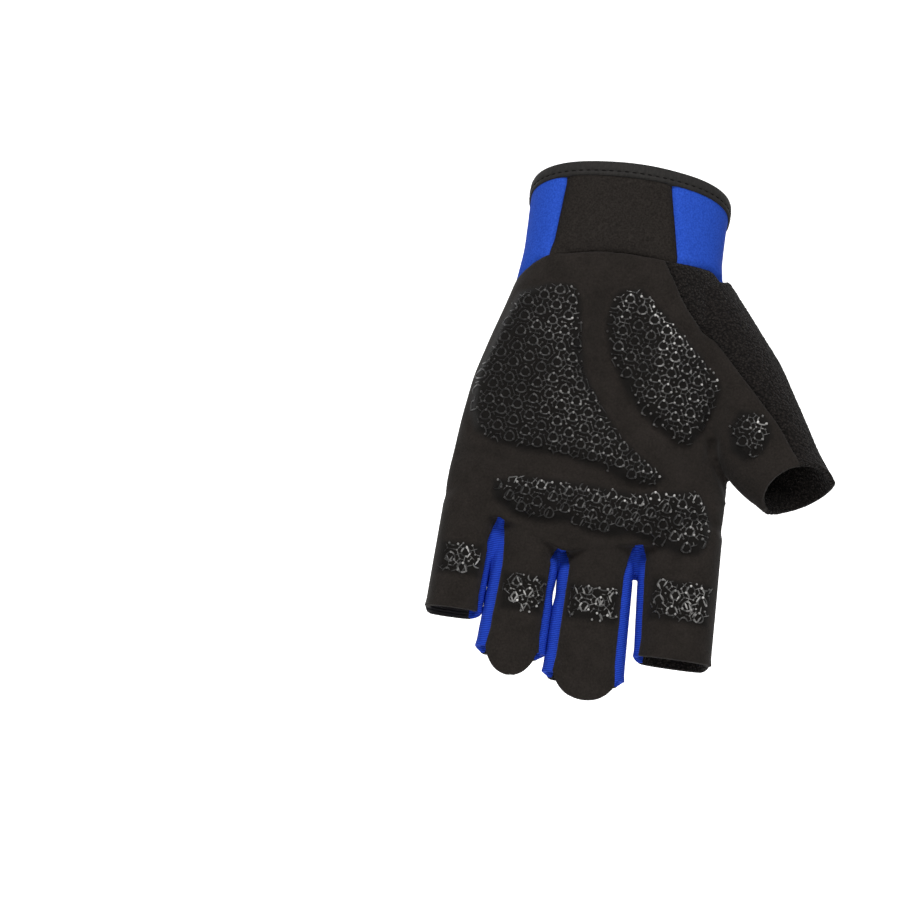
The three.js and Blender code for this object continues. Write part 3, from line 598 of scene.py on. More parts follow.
def seam_y(z, share):
    """The depth of a seam along the stalls, as a share of half their depth off their axis."""
    axis = CURL * PALM_D * ((-z / HAND_L - STALL_ROOT) / (1.38 - STALL_ROOT))
    return axis + share * SLOT_D * PALM_D


def root_middle(stall):
    return (stall.ulnar + stall.radial) / 2 * HALF


def out_of_slots(p):
    """Above zero outside the blue strips, which meet in a narrow arch at each slot's peak."""
    x, y, z = p.T
    crotch = -HAND_L * (CROTCH - arch_at(x)) - 1.2
    middles = slot_middles(z)
    number = np.argmin(np.abs(middles - x), axis=0)
    middle = np.take_along_axis(middles, number[None], axis=0)[0]
    peak = np.abs(x - middle) - (1.0 + SLOT_ARCH[number] * (crotch + 1.8 - z))
    top = np.clip((z - crotch + SLOT_TIP[number]) / (SLOT_TIP[number] - 1), 0, 1)
    front = SLOT_SEAMS[number, (x > middle).astype(int)] * (1 - top) + SLOT_PEAK * top
    return np.max([seam_y(z, -front) - y, y - seam_y(z, BACK_SEAM), root_middle(STALLS[0]) - x,
                   x - root_middle(STALLS[3]), z + HAND_L * SLOT_TOP, np.where(y < 0, peak, -1.0)], axis=0)


def off_palm(p):
    """Above zero behind the side seam, and beside the diagonal seam over the thumb."""
    x, y, z = p.T
    height = np.where(x < 0, over(SIDE_SEAM, z), along_x(THUMB_SEAM, x))
    return np.maximum(y - height, from_line(p, DIAGONAL_SEAM))


def on_side(p):
    """Above zero on the terry, thumbward of the seam down the back."""
    x, y, z = p.T
    return np.maximum(x - over(BACK_SEAM_LINE, z), np.minimum(-4 - y, x))


def off_cuff_palm(p):
    """Above zero outside the black front of the cuff."""
    x, y, z = p.T
    return np.max([y, over(CUFF_ULNAR_SEAM, z) - x, x - over(CUFF_RADIAL_SEAM, z)], axis=0)


def off_slit(p):
    """Above zero outside the slit and its keyhole at the back of the cuff."""
    x, y, z = p.T
    slot = np.maximum(np.abs(x - SLIT_X) - SLIT_GAP / 2, SLIT_FOOT - z)
    hole = np.hypot(x - SLIT_X, z - SLIT_FOOT) - KEYHOLE_HOLE
    return np.maximum(np.minimum(slot, hole), 2 - y)


skin = Skin(skin_verts, skin_normals, skin_faces)
skin.cut(lambda p: -above_rim(p), PALM, GONE)
skin.cut(lambda p: -past_mouth(p), PALM, GONE)
skin.cut(lambda p: -past_hem(p), PALM, GONE)
skin.cut(lambda p: -above_cuff_seam(p), PALM, CUFF_WRAP)
skin.cut(out_of_slots, PALM, SLOT_PR)
skin.cut(lambda p: -off_palm(p), PALM, BACK)
skin.cut(lambda p: -on_side(p), BACK, SIDE)
skin.cut(off_cuff_palm, CUFF_WRAP, CUFF_PALM)
skin.cut(off_slit, CUFF_WRAP, GONE)
centre_x = skin.points[skin.triangles].mean(1)[:, 0]
for stall, old, new in ((STALLS[1], SLOT_PR, SLOT_RM), (STALLS[2], SLOT_RM, SLOT_MI)):
    skin.panel[(skin.panel == old) & (centre_x > root_middle(stall))] = new
print("panels:", np.bincount(skin.panel))

# %% [markdown]
# ## Relief of the cloth
# The panels are pulled down a little along their seams and stand up between them. The pads are foam under
# the suede: each one swells in from its outline. Soft creases run at the root of the thumb, down between
# the two large pads and across below them.

# %% Relief
PUFF, PUFF_EDGE = 1.7, 3.2           # height of the pads, and how far in from their outline it is reached
BAND_PUFF = 0.45
SEAM_DIP, SEAM_WIDTH = 0.75, 0.8     # the narrow groove at every seam
VALLEY, VALLEY_WIDTH = 0.55, 2.2     # the wide one beside it in the thicker cloths
HEM_ROLL, HEM_WIDTH = 0.25, 1.4
UNEVEN = 0.55                        # slow unevenness of all cloth
FAR = 99.0
# line, depth and width of each crease
CREASES = [
    (np.array([(36.8, -58.0), (38.0, -62.0), (41.0, -66.5), (46.0, -73.5)]), 0.75, 1.5),
    (np.array([(38.5, -47.0), (37.0, -56.0), (36.4, -64.0)]), 0.8, 2.0),
    (np.array([(-4.0, -14.0), (-7.0, -30.0), (1.0, -44.0), (14.0, -56.0), (30.0, -65.0)]), 0.8, 3.0),
    (np.array([(-46.0, -71.0), (-30.0, -72.5), (-12.0, -73.5), (2.0, -75.0), (14.0, -77.5)]), 0.9, 2.4),
]


def band_outline(name):
    a, b, top, foot = BANDS[name]
    return mm_line([(a, foot), (b, foot), (b, top), (a, top)])


def ridge(away, width):
    """1 on a line and 0 away from it, over this width."""
    return np.exp(-(away / width) ** 2)


def edge_points(skin):
    """Points on a panel's free edge, and points on a seam between two panels."""
    kept = skin.panel != GONE
    pairs = np.sort(sides_of(skin.triangles[kept]), 1)
    owner = np.tile(skin.panel[kept], 3)
    key, where, count = np.unique(pairs, axis=0, return_inverse=True, return_counts=True)
    low, high = np.full(len(key), GONE), np.full(len(key), -1)
    np.minimum.at(low, where.ravel(), owner)
    np.maximum.at(high, where.ravel(), owner)
    return np.unique(key[count == 1]), np.unique(key[low != high])


def distance_to(marks, used):
    """Distance from each used point of the skin to the nearest of these marks."""
    tree = KDTree(len(marks))
    for mark in marks:
        tree.insert(skin.points[mark], mark)
    tree.balance()
    distance = np.full(len(skin.points), FAR)
    distance[used] = [tree.find(p)[2] for p in skin.points[used]]
    return distance


panel_of_point = np.full(len(skin.points), -1)
for number in range(GONE):
    panel_of_point[np.unique(skin.triangles[skin.panel == number])] = number
used = np.where(panel_of_point >= 0)[0]
free_points, seam_points = edge_points(skin)
to_seam, to_free = distance_to(seam_points, used), distance_to(free_points, used)
on_palm = step(-skin.normals[:, 1], 0.05, 0.5) * (panel_of_point == PALM)
lift = np.zeros(len(skin.points))
for outline in PADS.values():
    depth_in = inside(skin.points, outline)
    lift += (PUFF * step(depth_in, -0.8, PUFF_EDGE) - 0.35 * ridge(depth_in + 1.6, 1.1)) * on_palm
for name in BANDS:
    lift += BAND_PUFF * step(inside(skin.points, band_outline(name)), -0.8, 2.0) * on_palm
for line, deep, wide in CREASES:
    lift -= deep * ridge(from_line(skin.points, line), wide) * on_palm
z = skin.points[:, 2]
bulge = np.select([panel_of_point == SLOT_PR, panel_of_point == SLOT_RM, panel_of_point == SLOT_MI],
                  [0.85, 1.0 - 0.6 * ridge(z + 114, 4), 0.95 - 0.55 * step(-z, 96, 106)], 0)
lift += bulge * step(to_seam, 0.3, 2.6) * step(-z, 98, 104)
clear_of_edges = step(to_free, 1.5, 6.5)
lift -= SEAM_DIP * ridge(to_seam, SEAM_WIDTH) * (0.3 + 0.7 * clear_of_edges)
under = np.isin(panel_of_point, (SIDE, CUFF_PALM, CUFF_WRAP))
lift -= np.where(under, VALLEY * ridge(to_seam, VALLEY_WIDTH), 0) * clear_of_edges
lift += HEM_ROLL * ridge(to_free, HEM_WIDTH)
slow = np.array([noise.noise(Vector(p * (0.045, 0.05, 0.03))) for p in skin.points])
lift += UNEVEN * slow * step(to_seam, 1, 8) * step(to_free, 1, 8)
skin.lifted = skin.points + skin.normals * lift[:, None]
print("relief from", round(lift[used].min(), 2), "to", round(lift[used].max(), 2), "mm")

# %% [markdown]
# ## Panels with a thickness
# Each panel gets its own wall: the inner face is the outer one moved in along the shared normals, so two
# panels meet flush at their seam. At a hem the edge is rounded, as where the cloth is folded over.

# %% Panels
def wall_of(points, normals, triangles, thickness, rounding=0.35):
    """A thick sheet from an open surface, with rounded edges."""
    used, local = np.unique(triangles, return_inverse=True)
    tri = local.reshape(-1, 3)
    outer, normal = points[used], normals[used]
    inner = outer - normal * thickness
    count = len(outer)
    directed = sides_of(tri).astype(np.int64)
    a, b = directed.T
    border = directed[~np.isin(a * count + b, b * count + a)]
    rim_points = np.unique(border)
    number = np.full(count, -1)
    number[rim_points] = np.arange(len(rim_points)) + 2 * count
    a, b = border.T
    away = np.cross(outer[b] - outer[a], normal[a])
    outward = unit_rows(gathered(a, away, count) + gathered(b, away, count))
    edge = ((outer + inner) / 2 + outward * rounding)[rim_points]
    faces = [tuple(f) for f in tri] + [tuple(f) for f in (tri + count)[:, ::-1]]
    for a, b in border:
        faces.append((b, a, number[a], number[b]))
        faces.append((number[b], number[a], a + count, b + count))
    return np.concatenate([outer, inner, edge]), faces


def area_of(points, triangles):
    """Area of a surface in square millimetres."""
    a, b, c = (points[triangles[:, k]] for k in range(3))
    return np.linalg.norm(np.cross(b - a, c - a), axis=1).sum() / 2


def thinned(piece, share):
    """Takes triangles out where the surface is even, as on the inside of a looped cloth."""
    only(piece)
    piece.modifiers.new("thinned", "DECIMATE").ratio = share
    bpy.ops.object.modifier_apply(modifier="thinned")


def finer(skin, number):
    """Cuts each triangle of one panel in four, for cloth with a coarse surface."""
    chosen = skin.panel == number
    tri = skin.triangles[chosen]
    unique, where = np.unique(np.sort(sides_of(tri), axis=1), axis=0, return_inverse=True)
    where = where.ravel() + len(skin.lifted)
    skin.lifted = np.concatenate([skin.lifted, skin.lifted[unique].mean(1)])
    skin.normals = np.concatenate([skin.normals, skin.normals[unique].mean(1)])
    ab, bc, ca = np.split(where, 3)
    a, b, c = tri.T
    added = np.concatenate([np.stack(s, 1) for s in ((a, ab, ca), (ab, b, bc), (ca, bc, c), (ab, bc, ca))])
    skin.triangles = np.concatenate([skin.triangles[~chosen], added])
    skin.panel = np.concatenate([skin.panel[~chosen], np.full(len(added), number)])


TUFT, TUFTS_KEPT = 0.17, 0.8
finer(skin, SIDE)
loops = np.unique(skin.triangles[skin.panel == SIDE])
tuft = np.array([noise.noise(Vector(p * 1.5)) + 0.7 * noise.noise(Vector(p * 2.6))
                 for p in skin.lifted[loops]])
skin.lifted[loops] += skin.normals[loops] * (TUFT * tuft[:, None])


def mark(piece, name, values):
    """Gives a piece a value on each vertex, for its finish."""
    piece.data.attributes.new(name, "FLOAT", "POINT").data.foreach_set("value", values)


def printed(piece):
    """Marks the suede that carries silicone."""
    points = np.array([v.co for v in piece.data.vertices]) / MM
    mask = np.zeros(len(points))
    for outline in list(PADS.values()) + [band_outline(name) for name in BANDS]:
        mask = np.maximum(mask, step(inside(points, outline), -1.5, 1.0))
    mark(piece, "printed", mask * step(-points[:, 1], 1.0, 4.0))


made = {}


def handed(piece, slot, *nodes):
    """Hands a piece over: it rides on the glove, stands in for its nodes and wears its slot's finish."""
    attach(piece, "root")
    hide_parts(*nodes)
    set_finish(piece, slot)
    made[piece.name] = piece
    print(piece.name, len(piece.data.polygons), "faces")


# name, node, slot, and the cut on the pattern, width and length in metres
PANELS = {
    PALM: ("palm_suede", "palm_panel", "suede", (0.125, 0.160)),
    BACK: ("back_knit", "back_panel", "rib_knit", (0.105, 0.125)),
    SIDE: ("thumb_side_terry", "side_panel", "terry", (0.105, 0.130)),
    SLOT_PR: ("slot_strip_pinky_ring", "fourchette_pinky_ring", "blue_ribbed", (0.017, 0.096)),
    SLOT_RM: ("slot_strip_ring_middle", "fourchette_ring_middle", "blue_ribbed", (0.017, 0.096)),
    SLOT_MI: ("slot_strip_middle_index", "fourchette_middle_index", "blue_ribbed", (0.017, 0.096)),
    CUFF_PALM: ("cuff_front_cloth", "cuff_palm_panel", "black_neoprene", (0.042, 0.036)),
    CUFF_WRAP: ("cuff_side_cloth", "cuff_wrap", "blue_neoprene", (0.170, 0.062)),
}
for number, (name, node, slot, cut_size) in PANELS.items():
    triangles = skin.triangles[skin.panel == number]
    piece = add_mesh(name, *wall_of(skin.lifted, skin.normals, triangles, CLOTH))
    if number == SIDE:
        thinned(piece, TUFTS_KEPT)
    handed(smooth(piece), slot, node)
    if number == PALM:
        printed(piece)
    area = area_of(skin.lifted, triangles)

# %% [markdown]
# ## Printed silicone
# The grip is a net of small rings on a slanted lattice, printed on the suede with liquid silicone. Each
# ring has three raised drops, and short bridges, spokes and dots fill the spaces. The net is drawn flat in
# plan and laid onto the suede point by point. Each strand also carries a painted highlight: a value that
# turns its base colour pale, strongest where the strand faces the light above.

# %% Net
PITCH, RING_R, STRAND = 5.42, 1.52, 0.24
SLANTS = (24, 84, 144)       # the lattice's directions in degrees
RING_SIDES = 16
TUBE_END, TUBE_LIFT = 0.35, 0.12     # a strand's thickness at its ends, and its height over the cloth
# direction of the light above, which the painted highlight on the silicone follows
PAINTED_LIGHT_DIRECTION = np.array([0.20, -0.86, 0.47])


def tree_of(*panels):
    """The skin's outer face in these panels, for laying things on it."""
    chosen = skin.triangles[np.isin(skin.panel, panels)]
    return BVHTree.FromPolygons([Vector(p) for p in skin.lifted], [tuple(map(int, t)) for t in chosen])


def lay(tree, x, z, side, asides=(0,)):
    """The cloth's surface and normal at a place in plan, seen from the palm (-1) or the back (1)."""
    for aside in asides:
        start = Vector((x + aside, side * 200, z))
        hit, normal, index, distance = tree.ray_cast(start, Vector((0, -side, 0)))
        if hit is not None:
            return np.array((x, hit.y, hit.z)), np.array(normal if normal.y * side > 0 else -normal)
    return None


def direction(degrees):
    return np.array([math.cos(math.radians(degrees)), math.sin(math.radians(degrees))])


def tube(line, radius, sides=6, flat=0.75, closed=False):
    """A strand along surface points, half sunk in the cloth."""
    rings = []
    count = len(line)
    turn = 2 * np.pi * np.arange(sides) / sides
    for i, (point, normal) in enumerate(line):
        after = line[(i + 1) % count if closed else min(i + 1, count - 1)][0]
        before = line[(i - 1) % count if closed else max(i - 1, 0)][0]
        across = np.cross(normal, after - before)
        across /= max(np.linalg.norm(across), 1e-9)
        size = radius * (1.0 if closed or 0 < i < count - 1 else TUBE_END)
        rings.append(point + np.outer(np.cos(turn) * size, across)
                     + np.outer(np.sin(turn) * size * flat + TUBE_LIFT, normal))
    return woven(rings, not closed, closed)


def drop(place, radius, height, rows=3, sides=8):
    """A raised drop of silicone."""
    point, normal = place
    across = np.cross(normal, [0, 0, 1.0])
    across /= np.linalg.norm(across)
    turn = 2 * np.pi * np.arange(sides) / sides
    around = np.outer(np.cos(turn), across) + np.outer(np.sin(turn), np.cross(normal, across))
    rings = []
    for r in range(rows):
        angle = r / rows * math.pi / 2
        sunk = 0.15 if r == 0 else 0
        rings.append(point + around * radius * math.cos(angle) + normal * (height * math.sin(angle) - sunk))
    verts, faces = woven(rings, caps=False)
    top, last = len(verts), len(verts) - sides
    faces += [(last + k, last + (k + 1) % sides, top) for k in range(sides)]
    faces.append(tuple(range(sides))[::-1])
    return np.vstack([verts, point + normal * height]), faces


# glow scales the painted highlight: how far the net's base colour is turned pale where it faces the light
def net(name, outline, node, worn, glow, strokes=()):
    """The printed net inside an outline: rings, drops, bridges, and slanted strokes in these directions."""
    rng = np.random.default_rng(sum(map(ord, name)))
    heap, painted_highlight = Heap(), []

    # each added shape carries one painted highlight value on all its vertices
    def add(shape, highlight_level):
        heap.add(shape)
        painted_highlight.extend([highlight_level] * len(shape[0]))

    def within(p, margin=0.0):
        return inside(np.array([[p[0], 0, p[1]]]), outline)[0] > margin

    def highlight_paint(place, low, high):
        """Painted highlight: a pale base colour where the silicone faces the light above, less on the far
        side of a pad.
        """
        return glow * rng.uniform(low, high) * float(0.12 + 0.88 * step(place[1] @ PAINTED_LIGHT_DIRECTION, 0.68, 0.98))

    def surface(points):
        placed = [lay(palm_tree, *p, -1) for p in points if within(p, -0.3)]
        return [p for p in placed if p is not None and p[1][1] < -0.12]

    def strand(points, chance, thick, low, high):
        """A short strand, where all of it lies on the suede."""
        placed = surface(points)
        if len(placed) == len(points) and rng.random() < chance:
            add(tube(placed, STRAND * thick), highlight_paint(placed[0], low, high))

    def ring_at(centre, radius):
        """A ring with three soft corners, or a part of one where the print is worn or the pad ends."""
        turns = [2 * math.pi * k / RING_SIDES for k in range(RING_SIDES)]
        ring = [centre + radius * (1 + 0.06 * math.cos(3 * t - math.pi / 2 * 3))
                * np.array([math.cos(t), math.sin(t)]) for t in turns]
        if all(within(p) for p in ring) and rng.random() > worn:
            placed = surface(ring)
            if len(placed) == RING_SIDES:
                add(tube(placed, STRAND, closed=True), highlight_paint(placed[0], 0.02, 0.14))
                # two short arcs of each whole ring get a stronger painted highlight
                for painted_arc_start in rng.choice([1, 5, 8, 11, 14], 2, replace=False):
                    arc = [placed[(painted_arc_start + k) % RING_SIDES] for k in range(rng.integers(3, 6))]
                    add(tube(arc, STRAND * 1.15), highlight_paint(placed[0], 0.1, 0.8))
        else:
            start = rng.integers(0, RING_SIDES)
            placed = surface([ring[(start + k) % RING_SIDES] for k in range(rng.integers(8, 14))])
            if len(placed) > 2:
                add(tube(placed, STRAND), highlight_paint(placed[0], 0.0, 0.4))

    def unit(centre):
        """One ring of the lattice with its drops, bridges, spokes and strokes."""
        radius = RING_R * rng.uniform(0.96, 1.04)
        ring_at(centre, radius)
        # the three drops carry the strongest painted highlight
        for angle in (90, 210, 330):
            placed = surface([centre + radius * 1.05 * direction(angle)])
            if placed and rng.random() > worn * 0.5:
                add(drop(placed[0], 0.44, rng.uniform(0.55, 0.75)), highlight_paint(placed[0], 0.3, 1.8))
        for angle in SLANTS:
            bar = [centre + direction(angle) * s for s in np.linspace(RING_R + 0.1, PITCH - RING_R - 0.1, 3)]
            strand(bar, 0.75, 0.8, 0.0, 0.5)
        for angle in (54, 114):
            between = centre + direction(angle) * PITCH / math.sqrt(3)
            placed = surface([between])
            if placed and rng.random() > 0.12:
                add(drop(placed[0], 0.36, 0.4), highlight_paint(placed[0], 0.0, 0.9))
            for turn_by in (0, 120, 240):
                spoke = [between + direction(angle + turn_by) * r for r in (0.4, 1.0, 1.6)]
                strand(spoke, 0.6, 0.7, 0.0, 0.5)
        # the slanted strokes carry a strong painted highlight, standing in for glints along the strands
        for slant in strokes:
            for side in (-1, 1):
                mid = centre + side * rng.uniform(0.7, 1.4) * direction(slant - 90) + rng.normal(0, 0.4, 2)
                strand([mid + direction(slant) * r for r in (-1.2, -0.4, 0.4, 1.2)], 0.75, 1.15, 0.1, 1.1)

    one, two = direction(SLANTS[0]) * PITCH, direction(SLANTS[1]) * PITCH
    for i in range(-30, 31):
        for j in range(-30, 31):
            if within(i * one + j * two, -0.6):
                unit(i * one + j * two)
    piece = smooth(add_mesh(name, heap.verts, heap.faces), 70)
    # the painted highlight values go on the vertices, where the silicone finish turns them into pale colour
    mark(piece, "painted_highlight", np.array(painted_highlight))
    handed(piece, "silicone", node)


# how much of the print has worn off, how strongly the rest is painted with a highlight, and how its short
# strokes lean
PRINTS = {
    "hypothenar": (0.0, 0.42, ()),
    "thenar": (0.0, 1.0, ()),
    "finger_base": (0.12, 0.6, (70,)),
    "thumb": (0.15, 0.8, ()),
}
palm_tree = tree_of(PALM)
for name, outline in PADS.items():
    net("net_" + name, outline, "pad_" + name, *PRINTS[name])
for name in BANDS:
    net("net_band_" + name, band_outline(name), "band_" + name, 0.4, 0.7, (62, 118))

# %% [markdown]
# ## Rim binding
# A folded tape closes the top edge of the cuff. Its section is a narrow U over the cloth with a stitched
# groove near its lower edge, swept once round the rim from one side of the slit to the other.

# %% Binding
# height above the rim and distance out from the hand, for each corner of the tape's section
TAPE_SECTION = [(-4.6, -2.3), (-3.4, -2.6), (-1.4, -2.65), (-0.3, -2.5), (0.15, -2.2), (0.45, -1.6),
                (0.52, -0.9), (0.42, -0.2), (0.1, 0.35), (-0.5, 0.62), (-1.8, 0.74), (-2.7, 0.70),
                (-3.15, 0.42), (-3.6, 0.68), (-4.2, 0.66), (-4.6, 0.35), (-4.62, -0.4), (-4.6, -1.4)]
RING_COUNT = 288
INNER, CREST, GROOVE = 2, 10, 12     # corners of the section
columns = np.stack([hand_ring(CUFF_H + above, grow, RING_COUNT) for above, grow in TAPE_SECTION], axis=1)
crest = columns[:, CREST]
gap_at = np.argmin(np.hypot(crest[:, 0] - SLIT_X, np.minimum(crest[:, 1], 0)))
columns = np.roll(columns, -gap_at, axis=0)
crest = columns[:, CREST]
columns = columns[(np.abs(crest[:, 0] - SLIT_X) > SLIT_GAP / 2 + 0.2) | (crest[:, 1] < 0)]
handed(smooth(add_mesh("rim_tape", *woven(list(columns))), 50), "tape", "rim_binding")


def stitches(name, line, pitch=2.6, length=1.8, radius=0.22):
    """Thread along points with normals, one short stitch after another."""
    points, normals = (np.array(column) for column in zip(*line))
    run = np.concatenate([[0], np.cumsum(np.linalg.norm(np.diff(points, axis=0), axis=1))])
    thread_heap = Heap()
    for start in np.arange(0.5, run[-1] - length, pitch):
        places = start + length * np.linspace(0, 1, 5)
        spots, ups = (np.stack([np.interp(places, run, rows[:, k]) for k in range(3)], axis=1)
                      for rows in (points, normals))
        sink = (-0.25, -0.02, 0.05, -0.02, -0.25)
        thread_heap.add(tube([(s + u * d, u) for s, u, d in zip(spots, ups, sink)], radius, 6, 1.0))
    piece = smooth(add_mesh(name, thread_heap.verts, thread_heap.faces))
    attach(piece, "root")
    made[name] = piece


groove = columns[:, GROOVE]
out = groove - columns[:, INNER]
out[:, 2] = 0
out /= np.linalg.norm(out, axis=1, keepdims=True)
stitches("rim_stitches", list(zip(groove, out)))

# %% [markdown]
# ## Strap and slit on the back
# The back of the cuff is slit beside the thumb. A gathered loop of tape binds the foot of the slit and a
# straight tape runs up its edge. The wrap strap lies over the back from the little-finger side, with two
# rows of stitches round its border.

# %% Strap and slit
STRAP_TO = SLIT_X - SLIT_GAP
STRAP_T = 2.0
STRAP_COLUMNS, STRAP_ROWS = 72, 52
ASIDES = (0, 1.4, -1.4, 2.8, -2.8)   # how far beside the slit the tape and the strap find their ground
back_tree = tree_of(BACK, SIDE, CUFF_WRAP, CUFF_PALM)


def lay_back(x, z):
    """The back's surface and normal at a place in plan, bridging the slit."""
    return lay(back_tree, x, z, 1, ASIDES)


def strap_column(x):
    """Places across the strap, from its rounded foot up to the rim tape."""
    inset = max(0.0, STRAP_CORNER - (x - STRAP_FROM))
    foot = STRAP_FOOT + STRAP_CORNER - math.sqrt(STRAP_CORNER ** 2 - inset ** 2)
    place = lay_back(x, foot)
    y = place[0][1] if place else 20.0
    top = CUFF_H - TAPE_W - 0.8 - RIM_SLOPE * (y - BODY[1, 3] * PALM_D)
    return [(lay_back(x, foot + share * (top - foot)) or place)[0]
            for share in np.linspace(0, 1, STRAP_ROWS)]


points = np.array([strap_column(x) for x in np.linspace(STRAP_FROM, STRAP_TO, STRAP_COLUMNS)])
rows, cols = points.shape[:2]
for sweep in range(12):
    points[1:-1, 1:-1] = (points[1:-1, 1:-1] * 2 + points[:-2, 1:-1] + points[2:, 1:-1]
                          + points[1:-1, :-2] + points[1:-1, 2:]) / 6
normals = np.cross(np.gradient(points, axis=1), np.gradient(points, axis=0))
normals /= np.linalg.norm(normals, axis=2, keepdims=True)
normals *= np.sign(normals[:, :, 1:2])
row_in, col_in = (np.minimum(np.arange(n), np.arange(n)[::-1]) for n in (rows, cols))
steps_in = np.minimum(row_in[:, None], col_in)
height = 0.5 + STRAP_T * (0.72 + 0.28 * step(steps_in, 0, 2.5)) - 0.3 * ridge(steps_in - 3.2, 0.8)
shape = points + normals * height[:, :, None]
surface = shape.reshape(-1, 3)
cell = np.arange(rows * cols).reshape(rows, cols)
a, b, c, d = cell[:-1, :-1], cell[1:, :-1], cell[1:, 1:], cell[:-1, 1:]
tri = np.stack([a, b, c, a, c, d], axis=-1).reshape(-1, 3)
first = surface[tri[0]]
if np.cross(first[1] - first[0], first[2] - first[0]) @ normals[0, 0] < 0:
    tri = tri[:, ::-1]
piece = add_mesh("wrap_strap", *wall_of(surface, normals.reshape(-1, 3), tri, STRAP_T * 0.8, 0.4))
handed(smooth(piece), "strap_cloth", "wrist_strap")
strap_area = area_of(surface, tri)

for name, inset in (("strap_stitches_outer", 3), ("strap_stitches_inner", 5)):
    border = ([(inset, j) for j in range(cols - 1 - inset, inset, -1)]
              + [(i, inset) for i in range(inset, rows - 1 - inset)]
              + [(rows - 1 - inset, j) for j in range(inset, cols - 1 - inset)])
    stitches(name, [(shape[i, j], normals[i, j]) for i, j in border], 2.2, 1.6, 0.24)

GATHERS, GATHER_DEPTH = 18, 0.22
LOOP_TURNS = [2 * math.pi * k / 144 for k in range(144)]
# radius and height of the gathered loop, and distance from the slit and height of the straight tape
LOOP_SECTION = ((KEYHOLE_HOLE, 0.2), (2.5, 1.2), (3.2, 1.75), (4.2, 1.8), (5.2, 1.55), (5.8, 1.1),
                (KEYHOLE_R, 0.3))
STRIP_SECTION = ((0.9, -0.6), (0.7, 0.6), (0.9, 1.25), (1.5, 1.6), (3.0, 1.65), (4.4, 1.6), (5.1, 1.2),
                 (5.3, 0.5), (5.2, -0.6))


def raised(x, z, height):
    """A place at a height above the back."""
    point, normal = lay_back(x, z)
    return point + normal * height


rings = []
for radius, height in LOOP_SECTION:
    fold = GATHER_DEPTH * math.sin(math.pi * (radius - KEYHOLE_HOLE) / (KEYHOLE_R - KEYHOLE_HOLE))
    rings.append(np.array([raised(SLIT_X + radius * math.cos(t), SLIT_FOOT + radius * math.sin(t),
                                  height + fold * math.cos(GATHERS * t)) for t in LOOP_TURNS]))
loop = np.stack([rings[0] - (0, 1, 0)] + rings + [rings[-1] - (0, 1, 0)], axis=1)
for sweep in range(3):
    loop = (2 * loop + np.roll(loop, 1, axis=0) + np.roll(loop, -1, axis=0)) / 4
piece = add_mesh("slit_tape", *woven(list(loop) + [loop[0]], caps=False))
strip_rows = [np.array([raised(SLIT_X + across, z, height) for across, height in STRIP_SECTION])
              for z in np.linspace(SLIT_FOOT + KEYHOLE_R - 1.5, CUFF_H - TAPE_W - 4.5, 40)]
strip = add_mesh("slit_strip", *woven(strip_rows))
only(piece)
strip.select_set(True)
bpy.ops.object.join()
only(piece)
bpy.ops.object.mode_set(mode="EDIT")
bpy.ops.mesh.select_all(action="SELECT")
bpy.ops.mesh.remove_doubles(threshold=0.00001)
bpy.ops.mesh.normals_make_consistent(inside=False)
bpy.ops.object.mode_set(mode="OBJECT")
handed(smooth(piece, 50), "tape", "slit_binding")

# %% [markdown]
# ## Finishes
# All finishes are procedural and read the piece's own coordinates, or the values that its vertices carry.
# Cloth is rough with a fine weave in its bump; the silicone is black and glossy, with painted highlights that
# turn its colour pale.

# %% Materials
class Wire:
    """A shader socket that can be used in sums."""

    def __init__(self, look, socket):
        self.look, self.socket = look, socket

    def _with(self, operation, other, swap=False):
        pair = (other, self) if swap else (self, other)
        return self.look.node("ShaderNodeMath", {"operation": operation}, {0: pair[0], 1: pair[1]})

    def __add__(self, other):
        return self._with("ADD", other)

    __radd__ = __add__

    def __sub__(self, other):
        return self._with("SUBTRACT", other)

    def __rsub__(self, other):
        return self._with("SUBTRACT", other, True)

    def __mul__(self, other):
        return self._with("MULTIPLY", other)

    __rmul__ = __mul__


